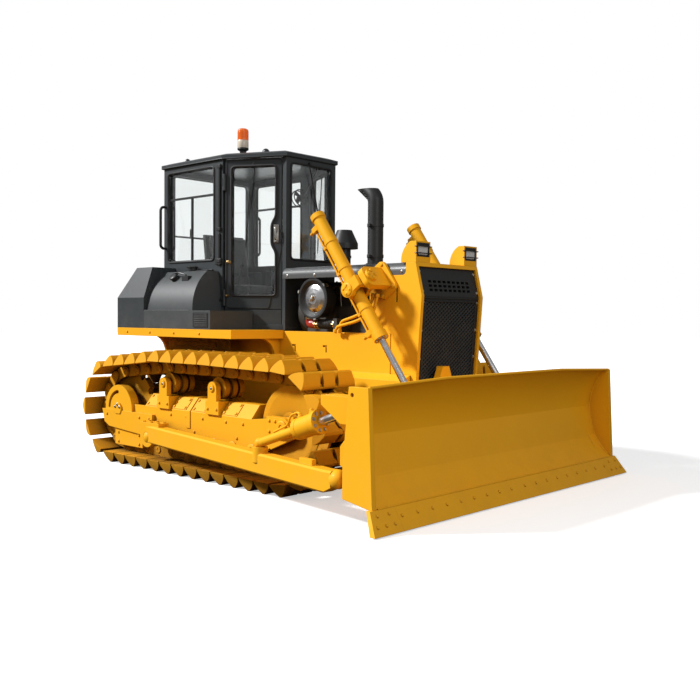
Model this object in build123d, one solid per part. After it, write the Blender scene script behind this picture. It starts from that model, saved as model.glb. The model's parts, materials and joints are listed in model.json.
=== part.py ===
from build123d import *

import math
import os

# Bulldozer with triangular track shoes, a tilting straight blade and a six-sided cab.
# Millimetres. X points forward, Y to the machine's left, Z up, with the ground at zero.

# Clearances
running_gap = 0.3
panel_gap = 6

# Tracks
track_gauge = 2080
track_pitch = 190
shoe_count = 38
shoe_width = 620
shoe_base = 176
shoe_height = 105
shoe_ridge = 24
shoe_shoulder = 56
shoe_shoulder_height = 66
shoe_end_lean = 35
shoe_lip = 16
link_height = 62
rail_drop = 50
rail_width = 40
rail_spacing = 170
bushing_radius = 28
bushing_sides = 6

# Sprocket, idler and rollers
sprocket_x = -1703
sprocket_pins = 12
sprocket_width = 60
sprocket_tip = 14
sprocket_pocket_gap = 4
sprocket_hub_radius = 165
sprocket_hub_width = 200
idler_start_x = 717
idler_tread_radius = 340
idler_flange_rise = 10
idler_dish = 26
idler_hub_radius = 120
wheel_width = 220
flange_clearance = 8
axle_radius = 42
carrier_x = (-953, -217)
carrier_radius = 100
carrier_groove = 20
carrier_flange_rise = 10
carrier_flange_half = 22
carrier_run_z = 969
roller_radius = 100
roller_groove = 20
roller_count = 7
roller_first_x = -1230
roller_last_x = 300

# Track frame
frame_side_gap = 25
frame_wall = 28
frame_bottom_z = 432
frame_top_z = 700
frame_knee_z = 585
frame_slope = 95
frame_rear_x = -1960
frame_rear_drop = 25
frame_end_gap = 90
guard_bottom_z = 255
casting_radius = 235
casting_depth = 58
casting_proud = 26
shaft_boss_radius = 64
shaft_boss_proud = 42
casting_slot_radius = 165
casting_slot_width = 34
strap_width = 56
strap_rise = 8
pedestal_half = 92
pedestal_top_z = 706
clamp_half = 60
clamp_proud = 22
idler_block_proud = 42
idler_block_half = 78
idler_block_length = 190
guard_hole_radius = 20
guard_holes_x = (314, 420, 525)
guard_hole_z = 342
guard_box_rear_x = -1777
guard_box_low_z = 170
guard_box_height = 175
guard_box_length = 476
guard_box_proud = 14
skirt_rear_x = -1988
skirt_front_x = -1115
skirt_top_z = 512
skirt_end_z = 382
skirt_corner = 84
skirt_low_rear_z = 342
skirt_low_front_z = 292
skirt_proud = 34

# Hull
hull_side_step = 6
hull_rear_x = -1950
hull_front_x = 1400
hull_top_z = 1253
hull_bottom_z = 480
hull_rear_z = 620
hull_rear_cut = 250
nose_x = 1180
nose_z = 820
nose_low_z = 570
nose_cut = 150
rail_plate = 36
rail_plate_top = 1325
rail_plate_rear_x = -130
sill_width = 110
sill_rear_x = 250
sill_low_z = 560
sill_high_z = 985
sill_slope = 45
tow_lug_y = -178
tow_lug_half = 170
tow_lug_tip_half = 42
tow_lug_drop = 70
tow_lug_height = 238
tow_lug_depth = 65
slot_width = 16
slot_depth = 14
hull_slots_x = (29, 433)
hull_slot_top_z = 1204
hull_slot_low_z = 1140
hull_slot_length = 50
drawbar_reach = 283
drawbar_pin_radius = 26
drawbar_pin_inset = 75
drawbar_plate = 60
drawbar_width = 150
drawbar_slot_end = 120
drawbar_z = 640
drawbar_neck = 70
final_drive_radius = 230
final_drive_cap = 300
final_drive_step = 180
equalizer_x = 250
equalizer_half = 70
equalizer_height = 110

# Fenders, tanks and housings
fender_half_width = 1000
fender_rear_x = -2079
fender_front_x = -229
fender_band = 80
fender_skew = 94
gusset_thickness = 36
gusset_reach = 230
gusset_drop = 190
gusset_foot = 60
tank_knee_z = 1640
tank_top_z = 1950
tank_slope = 200
tank_depth = 474
tank_side_slope = 105
tank_cap_radius = 62
tank_cap_height = 26
side_box_top_z = 1510
side_box_front_x = -534
step_recess = 14
step_recess_length = 150
step_recess_height = 118
shoulder_low_share = 0.927
shoulder_top_share = 0.351
shoulder_top_z = 1900
shoulder_bulge = 38
shoulder_end_slope = 55
filler_radius = 46
filler_height = 34

# Cab
cab_rear_x = -1800
cab_kink_x = -834
cab_front_x = -225
cab_half_width = 615
cab_front_half = 335
cab_nose_share = 0.6
cab_floor_z = 1380
roof_bottom_z = 2985
roof_top_z = 3050
roof_overhang = 20
roof_crown = 28
wall = 50
pillar = 70
hinge_pillar = 130
glass_thickness = 8
window_sill_z = 2010
window_head = 55
window_corner = 45
rear_window_side = 110
front_window_side = 60

# Doors
door_thickness = 46
door_stile = 62
door_sill_top_z = 1524
door_kick = 130
door_head = 70
pane_corner = 42
pane_notch = 46
pane_notch_low_z = 2080
pane_notch_high_z = 2420
pane_notch_run = 70
hinge_heights = (1640, 2760)
hinge_radius = 14
hinge_half = 40
hinge_leaf = 12
hinge_back = 6
hinge_out = 10
hinge_notch = 4
hinge_pad = 60

# Seat and controls
seat_x = -1250
seat_half = 260
seat_base_half = 190
seat_pan_z = 1640
seat_pan = 40
seat_pad = 110
seat_back_height = 640
seat_back_lean = 90
seat_back_shell = 40
seat_back_pad = 90
armrest_width = 70
armrest_height = 60
armrest_z = 1940
dash_depth = 150
dash_half = 240
dash_top_z = 2000
dash_slope = 100
lever_radius = 12
knob_radius = 26
lever_side_y = 330
lever_height = 420
lever_box_half = 60
lever_box_top_z = 1760

# Engine bay
engine_rear_x = -60
engine_front_x = 860
engine_half_width = 200
engine_sump_z = 1560
head_half_width = 150
head_top_z = 1720
cover_half_width = 110
cover_top_z = 1790
flywheel_radius = 250
flywheel_depth = 80
fan_radius = 300
fan_depth = 26
fan_gap = 30
fan_shaft_radius = 45
manifold_radius = 46
manifold_reach = 70
manifold_port_radius = 37
filter_centre = (233, 1627)
filter_radius = 176
filter_rim = 10
filter_rim_depth = 30
filter_depth = 128
filter_dish = 26
bowl_radius = 128
bowl_rise = 24
bowl_shoulder_radius = 96
bowl_shoulder_rise = 17
bowl_crown_radius = 51
filter_arm_radius = 64
hose_radius = 46
hose_bend = 60
hose_inset = 83
hose_rear_x = 120
hose_front_x = 470
hose_top_z = 1460
hose_low_z = 1395
hose_flange = 44

# Radiator shell and hood
shell_half_width = 434
shell_front_top_x = 1440
shell_front_knee_x = 1508
shell_front_low_x = 1450
shell_knee_z = 1643
shell_top_z = 1918
shell_rear_x = 940
shell_wall = 34
shell_slot_x = 1108
shell_slot_low_z = 1651
shell_slot_high_z = 1759
shell_hook_x = 1251
shell_hook_length = 76
shell_hook_low_z = 1592
shell_hook_high_z = 1711
grille_depth = 22
grille_thickness = 20
grille_border = 40
grille_pocket = 9
grille_holes = 9
grille_hole_rows = (1692, 1728, 1764)
grille_hole_width = 46
grille_hole_height = 20
grille_hole_step = 66
core_rear = 40
core_depth = 110
core_top_gap = 60
hood_rear_x = -165
hood_front_x = 1338
hood_bottom_z = 1815
hood_skin = 24
hood_corner = 70
hood_notch_radius = 36

# Lamps, exhaust, intake cap, beacon and handles
lamp_side_inset = 5
lamp_width = 189
lamp_height = 174
lamp_depth = 158
lamp_front_x = 1440
lamp_roof = 60
lamp_bend_in = 35
lamp_bend_up = 122
lamp_shell = 12
lamp_unit_low = 46
lamp_unit_depth = 70
lamp_unit_proud = 6
exhaust_x = 615
exhaust_radius = 72
exhaust_top_z = 2640
exhaust_bend_z = 2560
exhaust_lean = 120
exhaust_bend_radius = 110
exhaust_flange_radius = 105
exhaust_flange = 26
precleaner_x = 225
precleaner_stem_radius = 60
precleaner_stem_top_z = 2105
precleaner_cap_radius = 128
precleaner_cap_top_z = 2280
precleaner_crown_radius = 70
precleaner_skirt = 50
beacon_x = -905
beacon_y = -300
beacon_base_radius = 62
beacon_base = 26
beacon_stem = 64
beacon_stem_radius = 34
beacon_radius = 56
beacon_height = 200
beacon_dome = 30
handle_low_z = 2160
handle_high_z = 2590
handle_out = 70
handle_radius = 14
handle_bend = 40
handle_inset = 35

# Blade
blade_half_width = 1720
blade_top_x = 2085
blade_low_x = 2128
blade_low_z = 165
blade_end_z = 986
blade_crown_z = 1017
blade_crown_half = 829
blade_middle_z = 640
blade_hollow = 212
blade_skin = 22
end_plate = 40
end_plate_rear_x = 1906
end_plate_bulge = 55
end_plate_low_z = 205
end_plate_fold_z = 400
lifting_eye_radius = 15
lifting_eye_inset = 32
lifting_eye_z = 930
rib_rear_x = 1790
rib_low_z = 430
rib_high_z = 560
rib_spread = 110
pad_low_z = 215
pad_high_z = 432
pad_inner = 95
edge_thickness = 26
edge_reach = 105
edge_lift = 10
edge_bevel = 20
edge_lap = 8
bit_overhang = 85
bit_length = 220
bit_flare = 30

# Push arms and their ball ends
arm_pivot_x = -1003
arm_pivot_y = 1318
arm_pivot_z = 320
arm_tip_x = 1747
arm_tip_inset = 70
arm_width = 116
arm_height = 165
arm_chamfer = 14
arm_rear_rise = 30
arm_front_drop = 25
arm_nose = 100
arm_neck = 20
arm_nose_half = 60
trunnion_ball = 75
trunnion_pin = 45
trunnion_boss = 40
socket_wall = 32
socket_cap = 18
socket_cap_length = 190
arm_lug_length = 150
arm_lug_height = 46
arm_lug_back = 430
arm_lug_width = 40
tip_ball = 70
collar_trim = 2

# Lift cylinders
lift_standoff = 226
lift_pivot = (985, 1690)
lift_eye = (1707, 680)
lift_barrel_radius = 56
lift_bore_radius = 46
lift_rod_radius = 29
lift_rear_reach = 800
lift_gland_reach = 500
lift_gland_length = 60
lift_cap_rise = 9
lift_cap_length = 46
lift_rod_length = 1110
lift_trunnion_radius = 34
lift_pipe_radius = 11
lift_pipe_offset = 88
lift_port_half = 24
collar_half = 56
collar_half_width = 50
yoke_gap = 6
yoke_arm = 46
yoke_web = 100
yoke_cheek_rise = 34
yoke_bridge_near = 100
yoke_bridge = 36
yoke_pin_radius = 34
bracket_gap = 4
bracket_plate = 56
bracket_half_height = 95
bracket_corner = 60
bracket_cap_radius = 56
bracket_cap_rise = 24
bracket_cap_hollow = 8
bracket_foot = 26
bracket_foot_length = 210
bracket_foot_height = 290
bracket_foot_corner = 50
eye_radius = 58
lift_eye_width = 100
lift_ear_gap = 42
ear_thickness = 30
ear_overlap = 30
ear_seat_share = 0.85

# Tilt cylinder and pitch brace
brace_ball_x = 797
brace_ball_z = 470
brace_ball_inset = 105
brace_eye_x = 1790
brace_eye_z = 800
brace_eye_inset = 75
brace_eye_width = 62
brace_ear_gap = 16
bracket_arm_rear_x = 1570
bracket_arm_top_z = 906
bracket_arm_low_z = 836
bracket_arm_plate = 26
tilt_barrel_radius = 82
tilt_rod_radius = 32
tilt_tail_radius = 36
tilt_tail_reach = 470
tilt_gland_reach = 724
tilt_piston_inset = 120
tilt_base = 40
tilt_gland_rise = 10
tilt_gland_length = 50
brace_ball_radius = 44
brace_tube_radius = 34
brace_sleeve_rise = 14
brace_sleeve_start = 330
brace_sleeve_end = 700
brace_cup_wall = 16
brace_cup_drop = 30


def side_form(points, y_low, y_high):
    """Outline in X and Z, pushed across the machine."""
    outline = Plane.XZ.offset(-y_low) * Polygon(*points, align=None)
    return extrude(outline, y_high - y_low, dir=(0, 1, 0))


def plan_form(points, z_low, z_high):
    """Outline in X and Y, pushed upward."""
    outline = Plane.XY.offset(z_low) * Polygon(*points, align=None)
    return extrude(outline, z_high - z_low, dir=(0, 0, 1))


def front_form(points, x_low, x_high):
    """Outline in Y and Z, pushed forward."""
    outline = Plane.YZ.offset(x_low) * Polygon(*points, align=None)
    return extrude(outline, x_high - x_low, dir=(1, 0, 0))


def block(x_low, x_high, y_low, y_high, z_low, z_high):
    corner = (x_low, y_low, z_low)
    size = (x_high - x_low, y_high - y_low, z_high - z_low)
    return Location(corner) * Box(*size, align=(Align.MIN, Align.MIN, Align.MIN))


def bar(start, end, radius):
    """Round bar from one point to another."""
    direction = Vector(*end) - Vector(*start)
    return extrude(Plane(start, z_dir=direction) * Circle(radius), direction.length)


def cross_bar(x, z, radius, y_low, y_high):
    return bar((x, y_low, z), (x, y_high, z), radius)


def turned(points):
    """Solid of revolution round Y from points of radius and Y."""
    return revolve(Polygon(*points, align=None), Axis.Y)


def upright(points, x, y):
    """Solid of revolution round an upright axis from points of radius and Z."""
    return Location((x, y, 0)) * revolve(Plane.XZ * Polygon(*points, align=None), Axis.Z)


def ball(centre, radius):
    return Location(centre) * Sphere(radius)


def other_side(shape):
    return mirror(shape, about=Plane.XZ)


def both_sides(shape):
    return [shape, other_side(shape)]


def along(start, end, distance):
    """Point at a distance from start on the line to end."""
    direction = (Vector(*end) - Vector(*start)).normalized()
    return Vector(*start) + direction * distance


# Widths that follow the radiator shell
hull_half_width = shell_half_width + hull_side_step
filter_outer_y = shell_half_width - panel_gap
hose_y = filter_outer_y - hose_inset
lamp_high_y = shell_half_width - lamp_side_inset
lamp_low_y = lamp_high_y - lamp_width
lift_y = shell_half_width + lift_standoff

# Track loop: the pin line runs round sprocket, idler and carrier rollers
tip_offset = link_height + shoe_height
sprocket_radius = sprocket_pins * track_pitch / (2 * math.pi)
sprocket_z = tip_offset + sprocket_radius
idler_pin_radius = idler_tread_radius + rail_drop
idler_z = tip_offset + idler_pin_radius
carrier_pin_radius = carrier_radius + running_gap + rail_drop
carrier_z = carrier_run_z - carrier_pin_radius
track_y = track_gauge / 2
roller_z = tip_offset + rail_drop + running_gap + roller_radius


def pin_loop(idler_place):
    """Closed line through the pins."""
    wheels = [(sprocket_x, sprocket_z, sprocket_radius), (idler_place, idler_z, idler_pin_radius)]
    wheels += [(x, carrier_z, carrier_pin_radius) for x in carrier_x]
    circles = [Location((x, z)) * Circle(r) for x, z, r in wheels]
    return make_hull([circle.edge() for circle in circles]).wire()


def adjusted_idler_x():
    """The adjuster sets the idler where the loop is a whole number of pitches."""
    x = idler_start_x
    for step in range(5):
        x += (shoe_count * track_pitch - pin_loop(x).length) / 2
    return x


idler_x = adjusted_idler_x()


def pin_seats():
    """Place and heading of every pin, beginning below the sprocket."""
    loop = pin_loop(idler_x)
    below_sprocket = loop.vertices().sort_by_distance((sprocket_x, tip_offset, 0))[0]
    start = loop.param_at_point(Vector(below_sprocket))
    forward = 1 if (loop % start).X > 0 else -1
    places = [(start + forward * index / shoe_count) % 1 for index in range(shoe_count)]
    return [(loop @ place, loop % place * forward) for place in places]


def cross(first, second):
    return first.X * second.Y - first.Y * second.X


def link_outline(seats, outside):
    """Belt outline with one flat for every link, at a distance outside the pins."""
    corners = []
    for (pin, heading), (next_pin, next_heading) in zip(seats, seats[1:] + seats[:1]):
        turn = cross(heading, next_heading)
        if abs(turn) > 1e-4:
            here = pin + Vector(heading.Y, -heading.X) * outside
            there = next_pin + Vector(next_heading.Y, -next_heading.X) * outside
            corner = here + heading * (cross(there - here, next_heading) / turn)
            corners.append((corner.X, corner.Y))
    return Polygon(*corners, align=None)


def shoe():
    """One triangular shoe, ridge up, with rounded flanks and leaning ends."""
    flank = [(shoe_base / 2, 0), (shoe_base / 2, shoe_lip), (shoe_shoulder, shoe_shoulder_height),
             (shoe_ridge / 2, shoe_height)]
    section = Polygon(*flank, *[(-x, z) for x, z in reversed(flank)], align=None)
    prism = extrude(Plane.XZ * section, shoe_width / 2, both=True)
    end = shoe_width / 2
    sides = Polygon((-end, 0), (end, 0), (end - shoe_end_lean, shoe_height),
                    (shoe_end_lean - end, shoe_height), align=None)
    return prism & extrude(Plane.YZ * sides, shoe_base, both=True)


def track():
    """Closed chain of two rails with bushings, and a shoe at every pitch."""
    seats = pin_seats()
    outline = link_outline(seats, link_height) - link_outline(seats, -rail_drop)
    band = extrude(Plane.XZ * outline, rail_width / 2, both=True)
    rails = [Location((0, side * rail_spacing / 2, 0)) * band for side in (-1, 1)]
    one_shoe = Location((0, 0, link_height)) * shoe()
    bushing = extrude(Plane.XZ * RegularPolygon(bushing_radius, bushing_sides), rail_spacing / 2, both=True)
    links = []
    for pin, heading in seats:
        lean = math.degrees(math.atan2(-heading.Y, -heading.X))
        seat = Location((pin.X, 0, pin.Y)) * Rotation(0, -lean, 0)
        links += [seat * one_shoe, seat * bushing]
    return rails[0].fuse(rails[1], *links)


wheel_half = wheel_width / 2
axle_half = wheel_half + frame_side_gap
rail_inner = rail_spacing / 2 - rail_width / 2
flange_half = rail_inner - flange_clearance


def roller(radius, groove, flange_radius, flange):
    """Roller with a tread under each rail, a groove beside it and a flange in the middle."""
    half = [(flange_radius, flange), (radius - groove, flange), (radius - groove, flange_half),
            (radius, flange_half), (radius, wheel_half), (axle_radius, wheel_half), (axle_radius, axle_half)]
    return turned([(0, -axle_half)] + [(r, -y) for r, y in reversed(half)] + half + [(0, axle_half)])


def idler_wheel():
    """Front wheel with a dished web and a flange between the rails."""
    tread = idler_tread_radius - running_gap
    half = [(idler_tread_radius + idler_flange_rise, flange_half), (tread, flange_half), (tread, wheel_half),
            (tread - 2 * idler_dish, wheel_half), (idler_hub_radius, wheel_half - idler_dish),
            (idler_hub_radius, wheel_half), (axle_radius, wheel_half), (axle_radius, axle_half)]
    return turned([(0, -axle_half)] + [(r, -y) for r, y in reversed(half)] + half + [(0, axle_half)])


def sprocket():
    """Toothed ring between the rails, with a pocket for every bushing, on a wide hub."""
    pocket = Circle(bushing_radius + sprocket_pocket_gap)
    pockets = PolarLocations(sprocket_radius, sprocket_pins) * pocket
    ring = extrude(Circle(sprocket_radius + sprocket_tip) - pockets, sprocket_width / 2, both=True)
    hub = Cylinder(sprocket_hub_radius, sprocket_hub_width)
    return Rotation(90, 0, 0) * (ring + hub)


frame_inner = track_y - axle_half - frame_wall
frame_outer = track_y + axle_half + frame_wall
frame_face = frame_outer - frame_wall
roller_step = (roller_last_x - roller_first_x) / (roller_count - 1)
roller_places = [roller_first_x + index * roller_step for index in range(roller_count)]
beam_front_x = idler_x - idler_tread_radius - frame_end_gap
beam_rear_x = sprocket_x + sprocket_radius + link_height
frame_front_x = idler_x + frame_end_gap


def beam_section(grow):
    """Box section with both upper corners sloped, grown outward."""
    low = frame_bottom_z
    outer = [(frame_outer + grow, low), (frame_outer + grow, frame_knee_z + grow / 2),
             (frame_outer - frame_slope + grow / 2, frame_top_z + grow)]
    return outer + [(frame_inner + frame_outer - y, z) for y, z in reversed(outer)]


def guard_plate(rear_points, y_low, y_high):
    """Side plate of the track frame, from its rear points to the fork of the idler."""
    front = [(roller_first_x, guard_bottom_z), (roller_last_x, guard_bottom_z),
             (frame_front_x, idler_z - frame_end_gap), (frame_front_x, idler_z + frame_end_gap),
             (beam_front_x, frame_knee_z), (beam_rear_x, frame_knee_z)]
    return side_form(rear_points + front, y_low, y_high)


def sprocket_casting():
    """Round-backed casting outside the sprocket, with a shaft boss and an arched slot."""
    casting = cross_bar(sprocket_x, sprocket_z, casting_radius, frame_outer - casting_depth,
                        frame_outer + casting_proud)
    hub_face = track_y + sprocket_hub_width / 2
    boss = cross_bar(sprocket_x, sprocket_z, shaft_boss_radius, hub_face, frame_outer + shaft_boss_proud)
    arch = SlotArc(CenterArc((0, 0), casting_slot_radius, 95, 80), casting_slot_width)
    slot = extrude(Plane((sprocket_x, frame_face, sprocket_z), x_dir=(1, 0, 0), z_dir=(0, -1, 0)) * arch,
                   casting_depth + casting_proud, dir=(0, 1, 0))
    reach = 2 * casting_radius
    below = block(sprocket_x - reach, sprocket_x + reach, hub_face - casting_depth, frame_outer + reach,
                  sprocket_z - reach, skirt_top_z - skirt_proud)
    return casting + boss - slot - below


def pedestal(x):
    """Wide foot on the beam and an upright clamp round the carrier roller's shaft."""
    foot = block(x - pedestal_half, x + pedestal_half, frame_outer - frame_slope, frame_outer + clamp_proud,
                 frame_knee_z, pedestal_top_z)
    face = frame_outer + clamp_proud
    clamp = block(x - clamp_half, x + clamp_half, frame_face, face, frame_knee_z, carrier_z)
    crown = cross_bar(x, carrier_z, clamp_half, frame_face, face)
    return foot + clamp + crown


def track_frame():
    """Box beam with roller guards, castings, roller pedestals, a strap and the trunnion boss."""
    beam = front_form(beam_section(0), beam_rear_x, beam_front_x)
    middle = (carrier_x[0] + carrier_x[1]) / 2
    strap = front_form(beam_section(strap_rise), middle - strap_width / 2, middle + strap_width / 2)
    rear = [(sprocket_x, frame_knee_z), (frame_rear_x, sprocket_z - frame_rear_drop),
            (frame_rear_x + frame_end_gap, guard_bottom_z + frame_end_gap)]
    outer = guard_plate(rear, frame_face, frame_outer)
    for x in guard_holes_x:
        outer -= cross_bar(x, guard_hole_z, guard_hole_radius, frame_face, frame_outer)
    inner = guard_plate([(beam_rear_x, frame_bottom_z)], frame_inner, frame_inner + frame_wall)
    bearing_low = idler_x - idler_block_length
    bearing = block(bearing_low, idler_x, frame_face, frame_outer + idler_block_proud,
                    idler_z - idler_block_half, idler_z + idler_block_half)
    bearing += cross_bar(idler_x, idler_z, idler_block_half, frame_face, frame_outer + idler_block_proud)
    box = block(guard_box_rear_x, guard_box_rear_x + guard_box_length, frame_face,
                frame_outer + guard_box_proud, guard_box_low_z, guard_box_low_z + guard_box_height)
    skirt_outline = [(skirt_rear_x, skirt_top_z), (skirt_front_x, skirt_top_z),
                     (skirt_front_x, skirt_low_front_z),
                     (skirt_rear_x + 1.5 * skirt_corner, skirt_low_rear_z),
                     (skirt_rear_x + skirt_corner / 2, skirt_end_z)]
    skirt = side_form(skirt_outline, frame_face, frame_outer + skirt_proud)
    boss = cross_bar(arm_pivot_x, arm_pivot_z, trunnion_pin + trunnion_boss, frame_face,
                     arm_pivot_y - trunnion_ball + collar_trim)
    bore = cross_bar(arm_pivot_x, arm_pivot_z, trunnion_pin + running_gap / 3, frame_outer - frame_wall / 2,
                     arm_pivot_y)
    pieces = [strap, outer, inner, bearing, box, skirt, sprocket_casting(), boss]
    return beam.fuse(*pieces, *[pedestal(x) for x in carrier_x]) - bore


def hook_slot(corner_x, high_z, low_z, length):
    """Outline of a slot like a bent hook: a bar along the top and a leg down at its front."""
    return [(corner_x, high_z), (corner_x - length, high_z), (corner_x - length, high_z - slot_width),
            (corner_x - slot_width, high_z - slot_width), (corner_x - slot_width, low_z), (corner_x, low_z)]


def hull():
    """Main frame: transmission case, belly, engine rails, front sills and a tow lug on the nose."""
    outline = [(hull_rear_x, hull_rear_z), (hull_rear_x, hull_top_z), (nose_x, hull_top_z), (nose_x, nose_z),
               (hull_front_x, nose_z), (hull_front_x, nose_low_z), (hull_front_x - nose_cut, hull_bottom_z),
               (hull_rear_x + hull_rear_cut, hull_bottom_z)]
    body = side_form(outline, -hull_half_width, hull_half_width)
    plate = block(rail_plate_rear_x, nose_x, hull_half_width - rail_plate, hull_half_width,
                  hull_top_z, rail_plate_top)
    sill_y = hull_half_width + sill_width
    sill = front_form([(hull_half_width, sill_low_z), (sill_y, sill_low_z + sill_slope),
                       (sill_y, sill_high_z - sill_slope), (hull_half_width, sill_high_z)],
                      sill_rear_x, hull_front_x)
    slots = []
    for x in hull_slots_x:
        outline = hook_slot(x, hull_slot_top_z, hull_slot_low_z, hull_slot_length)
        slots += both_sides(side_form(outline, hull_half_width - slot_depth, hull_half_width))
    lug_low_z = nose_z - tow_lug_drop
    lug_high_z = nose_z + tow_lug_height
    lug_outline = [(tow_lug_y - tow_lug_half, lug_low_z), (tow_lug_y + tow_lug_half, lug_low_z),
                   (tow_lug_y + tow_lug_tip_half, lug_high_z), (tow_lug_y - tow_lug_tip_half, lug_high_z)]
    lug = front_form(lug_outline, shell_front_knee_x, shell_front_knee_x + tow_lug_depth)
    shelf = block(hull_front_x, shell_front_knee_x + tow_lug_depth, tow_lug_y - tow_lug_half,
                  tow_lug_y + tow_lug_half,
                  nose_low_z, lug_low_z)
    return body.fuse(plate, other_side(plate), sill, other_side(sill), lug, shelf).cut(*slots)


def final_drive():
    """Stepped housing between the hull and the sprocket."""
    end = track_y - sprocket_hub_width / 2
    step = hull_half_width + final_drive_step
    return turned([(0, hull_half_width), (final_drive_cap, hull_half_width), (final_drive_cap, step),
                   (final_drive_radius, step + final_drive_cap - final_drive_radius),
                   (final_drive_radius, end), (0, end)])


def equalizer():
    return block(equalizer_x - equalizer_half, equalizer_x + equalizer_half, -frame_inner, frame_inner,
                 hull_bottom_z - equalizer_height, hull_bottom_z)


def drawbar():
    """Fixed rear drawbar: a tapered clevis with a vertical pin hole."""
    end = hull_rear_x - drawbar_reach
    half = drawbar_width / 2
    body = plan_form([(end, -half), (end, half), (hull_rear_x - drawbar_slot_end, half),
                      (hull_rear_x, half + drawbar_neck), (hull_rear_x, -half - drawbar_neck),
                      (hull_rear_x - drawbar_slot_end, -half)], drawbar_z, drawbar_z + 3 * drawbar_plate)
    slot = block(end, hull_rear_x - drawbar_slot_end, -half, half, drawbar_z + drawbar_plate,
                 drawbar_z + 2 * drawbar_plate)
    pin_x = end + drawbar_pin_inset
    hole = bar((pin_x, 0, drawbar_z), (pin_x, 0, drawbar_z + 3 * drawbar_plate), drawbar_pin_radius)
    return body - slot - hole


fender_top_z = hull_top_z + fender_band


def gusset(x):
    """Bracket under the fender with a hollow outer edge."""
    reach = hull_half_width + gusset_reach
    foot = hull_half_width + gusset_foot
    low = hull_top_z - gusset_drop
    share = 1 - math.sqrt(0.5)
    bend = (foot + (reach - foot) * share, hull_top_z - gusset_drop * share)
    edge = [Line((hull_half_width, low), (hull_half_width, hull_top_z)),
            Line((hull_half_width, hull_top_z), (reach, hull_top_z)),
            ThreePointArc((reach, hull_top_z), bend, (foot, low)), Line((foot, low), (hull_half_width, low))]
    return extrude(Plane.YZ.offset(x) * make_face(edge), gusset_thickness, dir=(1, 0, 0))


def fender():
    """Platform beside the hull, above the track, on a bracket at each end."""
    outline = [(fender_rear_x, hull_half_width), (fender_front_x + fender_skew, hull_half_width),
               (fender_front_x, fender_half_width), (fender_rear_x, fender_half_width)]
    platform = plan_form(outline, hull_top_z, fender_top_z)
    return platform.fuse(gusset(hull_rear_x), gusset(fender_front_x))


def cab_outline(inset):
    """Six-sided plan of the cab, moved inward by an inset."""
    rear = cab_rear_x + inset
    side = cab_half_width - inset
    nose = cab_front_half - inset * cab_nose_share
    front = cab_front_x - inset
    right = [(rear, -side), (cab_kink_x, -side), (front, -nose)]
    return right + [(x, -y) for x, y in reversed(right)]


def fuel_tank():
    """Rear tank with sloped back and sides, reaching forward beside the cab, and a filler cap."""
    rear = fender_rear_x
    outline = [(rear, fender_top_z), (rear, tank_knee_z), (rear + tank_slope, tank_top_z),
               (rear + tank_depth, tank_top_z), (rear + tank_depth, fender_top_z)]
    whole = side_form(outline, -fender_half_width, fender_half_width)
    side = [(fender_half_width, fender_top_z), (fender_half_width, tank_knee_z),
            (fender_half_width - tank_side_slope, tank_top_z)]
    whole = whole & front_form(side + [(-y, z) for y, z in reversed(side)], rear, rear + tank_depth)
    room = block(cab_rear_x, rear + tank_depth, -cab_half_width, cab_half_width, fender_top_z, tank_top_z)
    cap_x = rear + (tank_slope + tank_depth) / 2
    cap_y = (cab_half_width + fender_half_width - tank_side_slope) / 2
    cap = bar((cap_x, cap_y, tank_top_z), (cap_x, cap_y, tank_top_z + tank_cap_height), tank_cap_radius)
    return whole - room + cap


# Doors: flat frames between the hinge pillar and the front pillar
door_rear = Vector(cab_kink_x, cab_half_width)
door_front = Vector(cab_front_x - wall, cab_front_half)
door_run = (door_front - door_rear).length
door_heading = math.degrees(math.atan2(door_front.Y - door_rear.Y, door_front.X - door_rear.X))
door_lean = math.radians(-door_heading)
door_start = (panel_gap + door_thickness * math.sin(door_lean)) / math.cos(door_lean)
door_end = door_run - panel_gap
door_low_z = door_sill_top_z + panel_gap
door_high_z = roof_bottom_z - panel_gap
door_plane = Plane(Location((door_rear.X, door_rear.Y, 0), (0, 0, door_heading)) *
                   Location((0, 0, 0), (90, 0, 0)))
hinge_along = door_start - hinge_back
hinge_x = door_rear.X + hinge_along * math.cos(door_lean) + hinge_out * math.sin(door_lean)
hinge_y = door_rear.Y - hinge_along * math.sin(door_lean) + hinge_out * math.cos(door_lean)


def side_box():
    """Housing on the fender beside the cab, following the door line, with a recess at its front end."""
    low_x = fender_rear_x + tank_depth
    slope = (cab_front_half - cab_half_width) / (cab_front_x - cab_kink_x)
    inner_y = cab_half_width + slope * (side_box_front_x - cab_kink_x) + panel_gap
    outline = [(low_x, cab_half_width), (cab_kink_x, cab_half_width),
               (cab_kink_x, cab_half_width + panel_gap), (side_box_front_x, inner_y),
               (side_box_front_x, fender_half_width), (low_x, fender_half_width)]
    box = plan_form(outline, fender_top_z, side_box_top_z)
    margin = (side_box_top_z - fender_top_z - step_recess_height) / 2
    recess = block(side_box_front_x - step_recess_length - margin, side_box_front_x - margin,
                   fender_half_width - step_recess, fender_half_width, fender_top_z + margin,
                   side_box_top_z - margin)
    return box - recess


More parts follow.
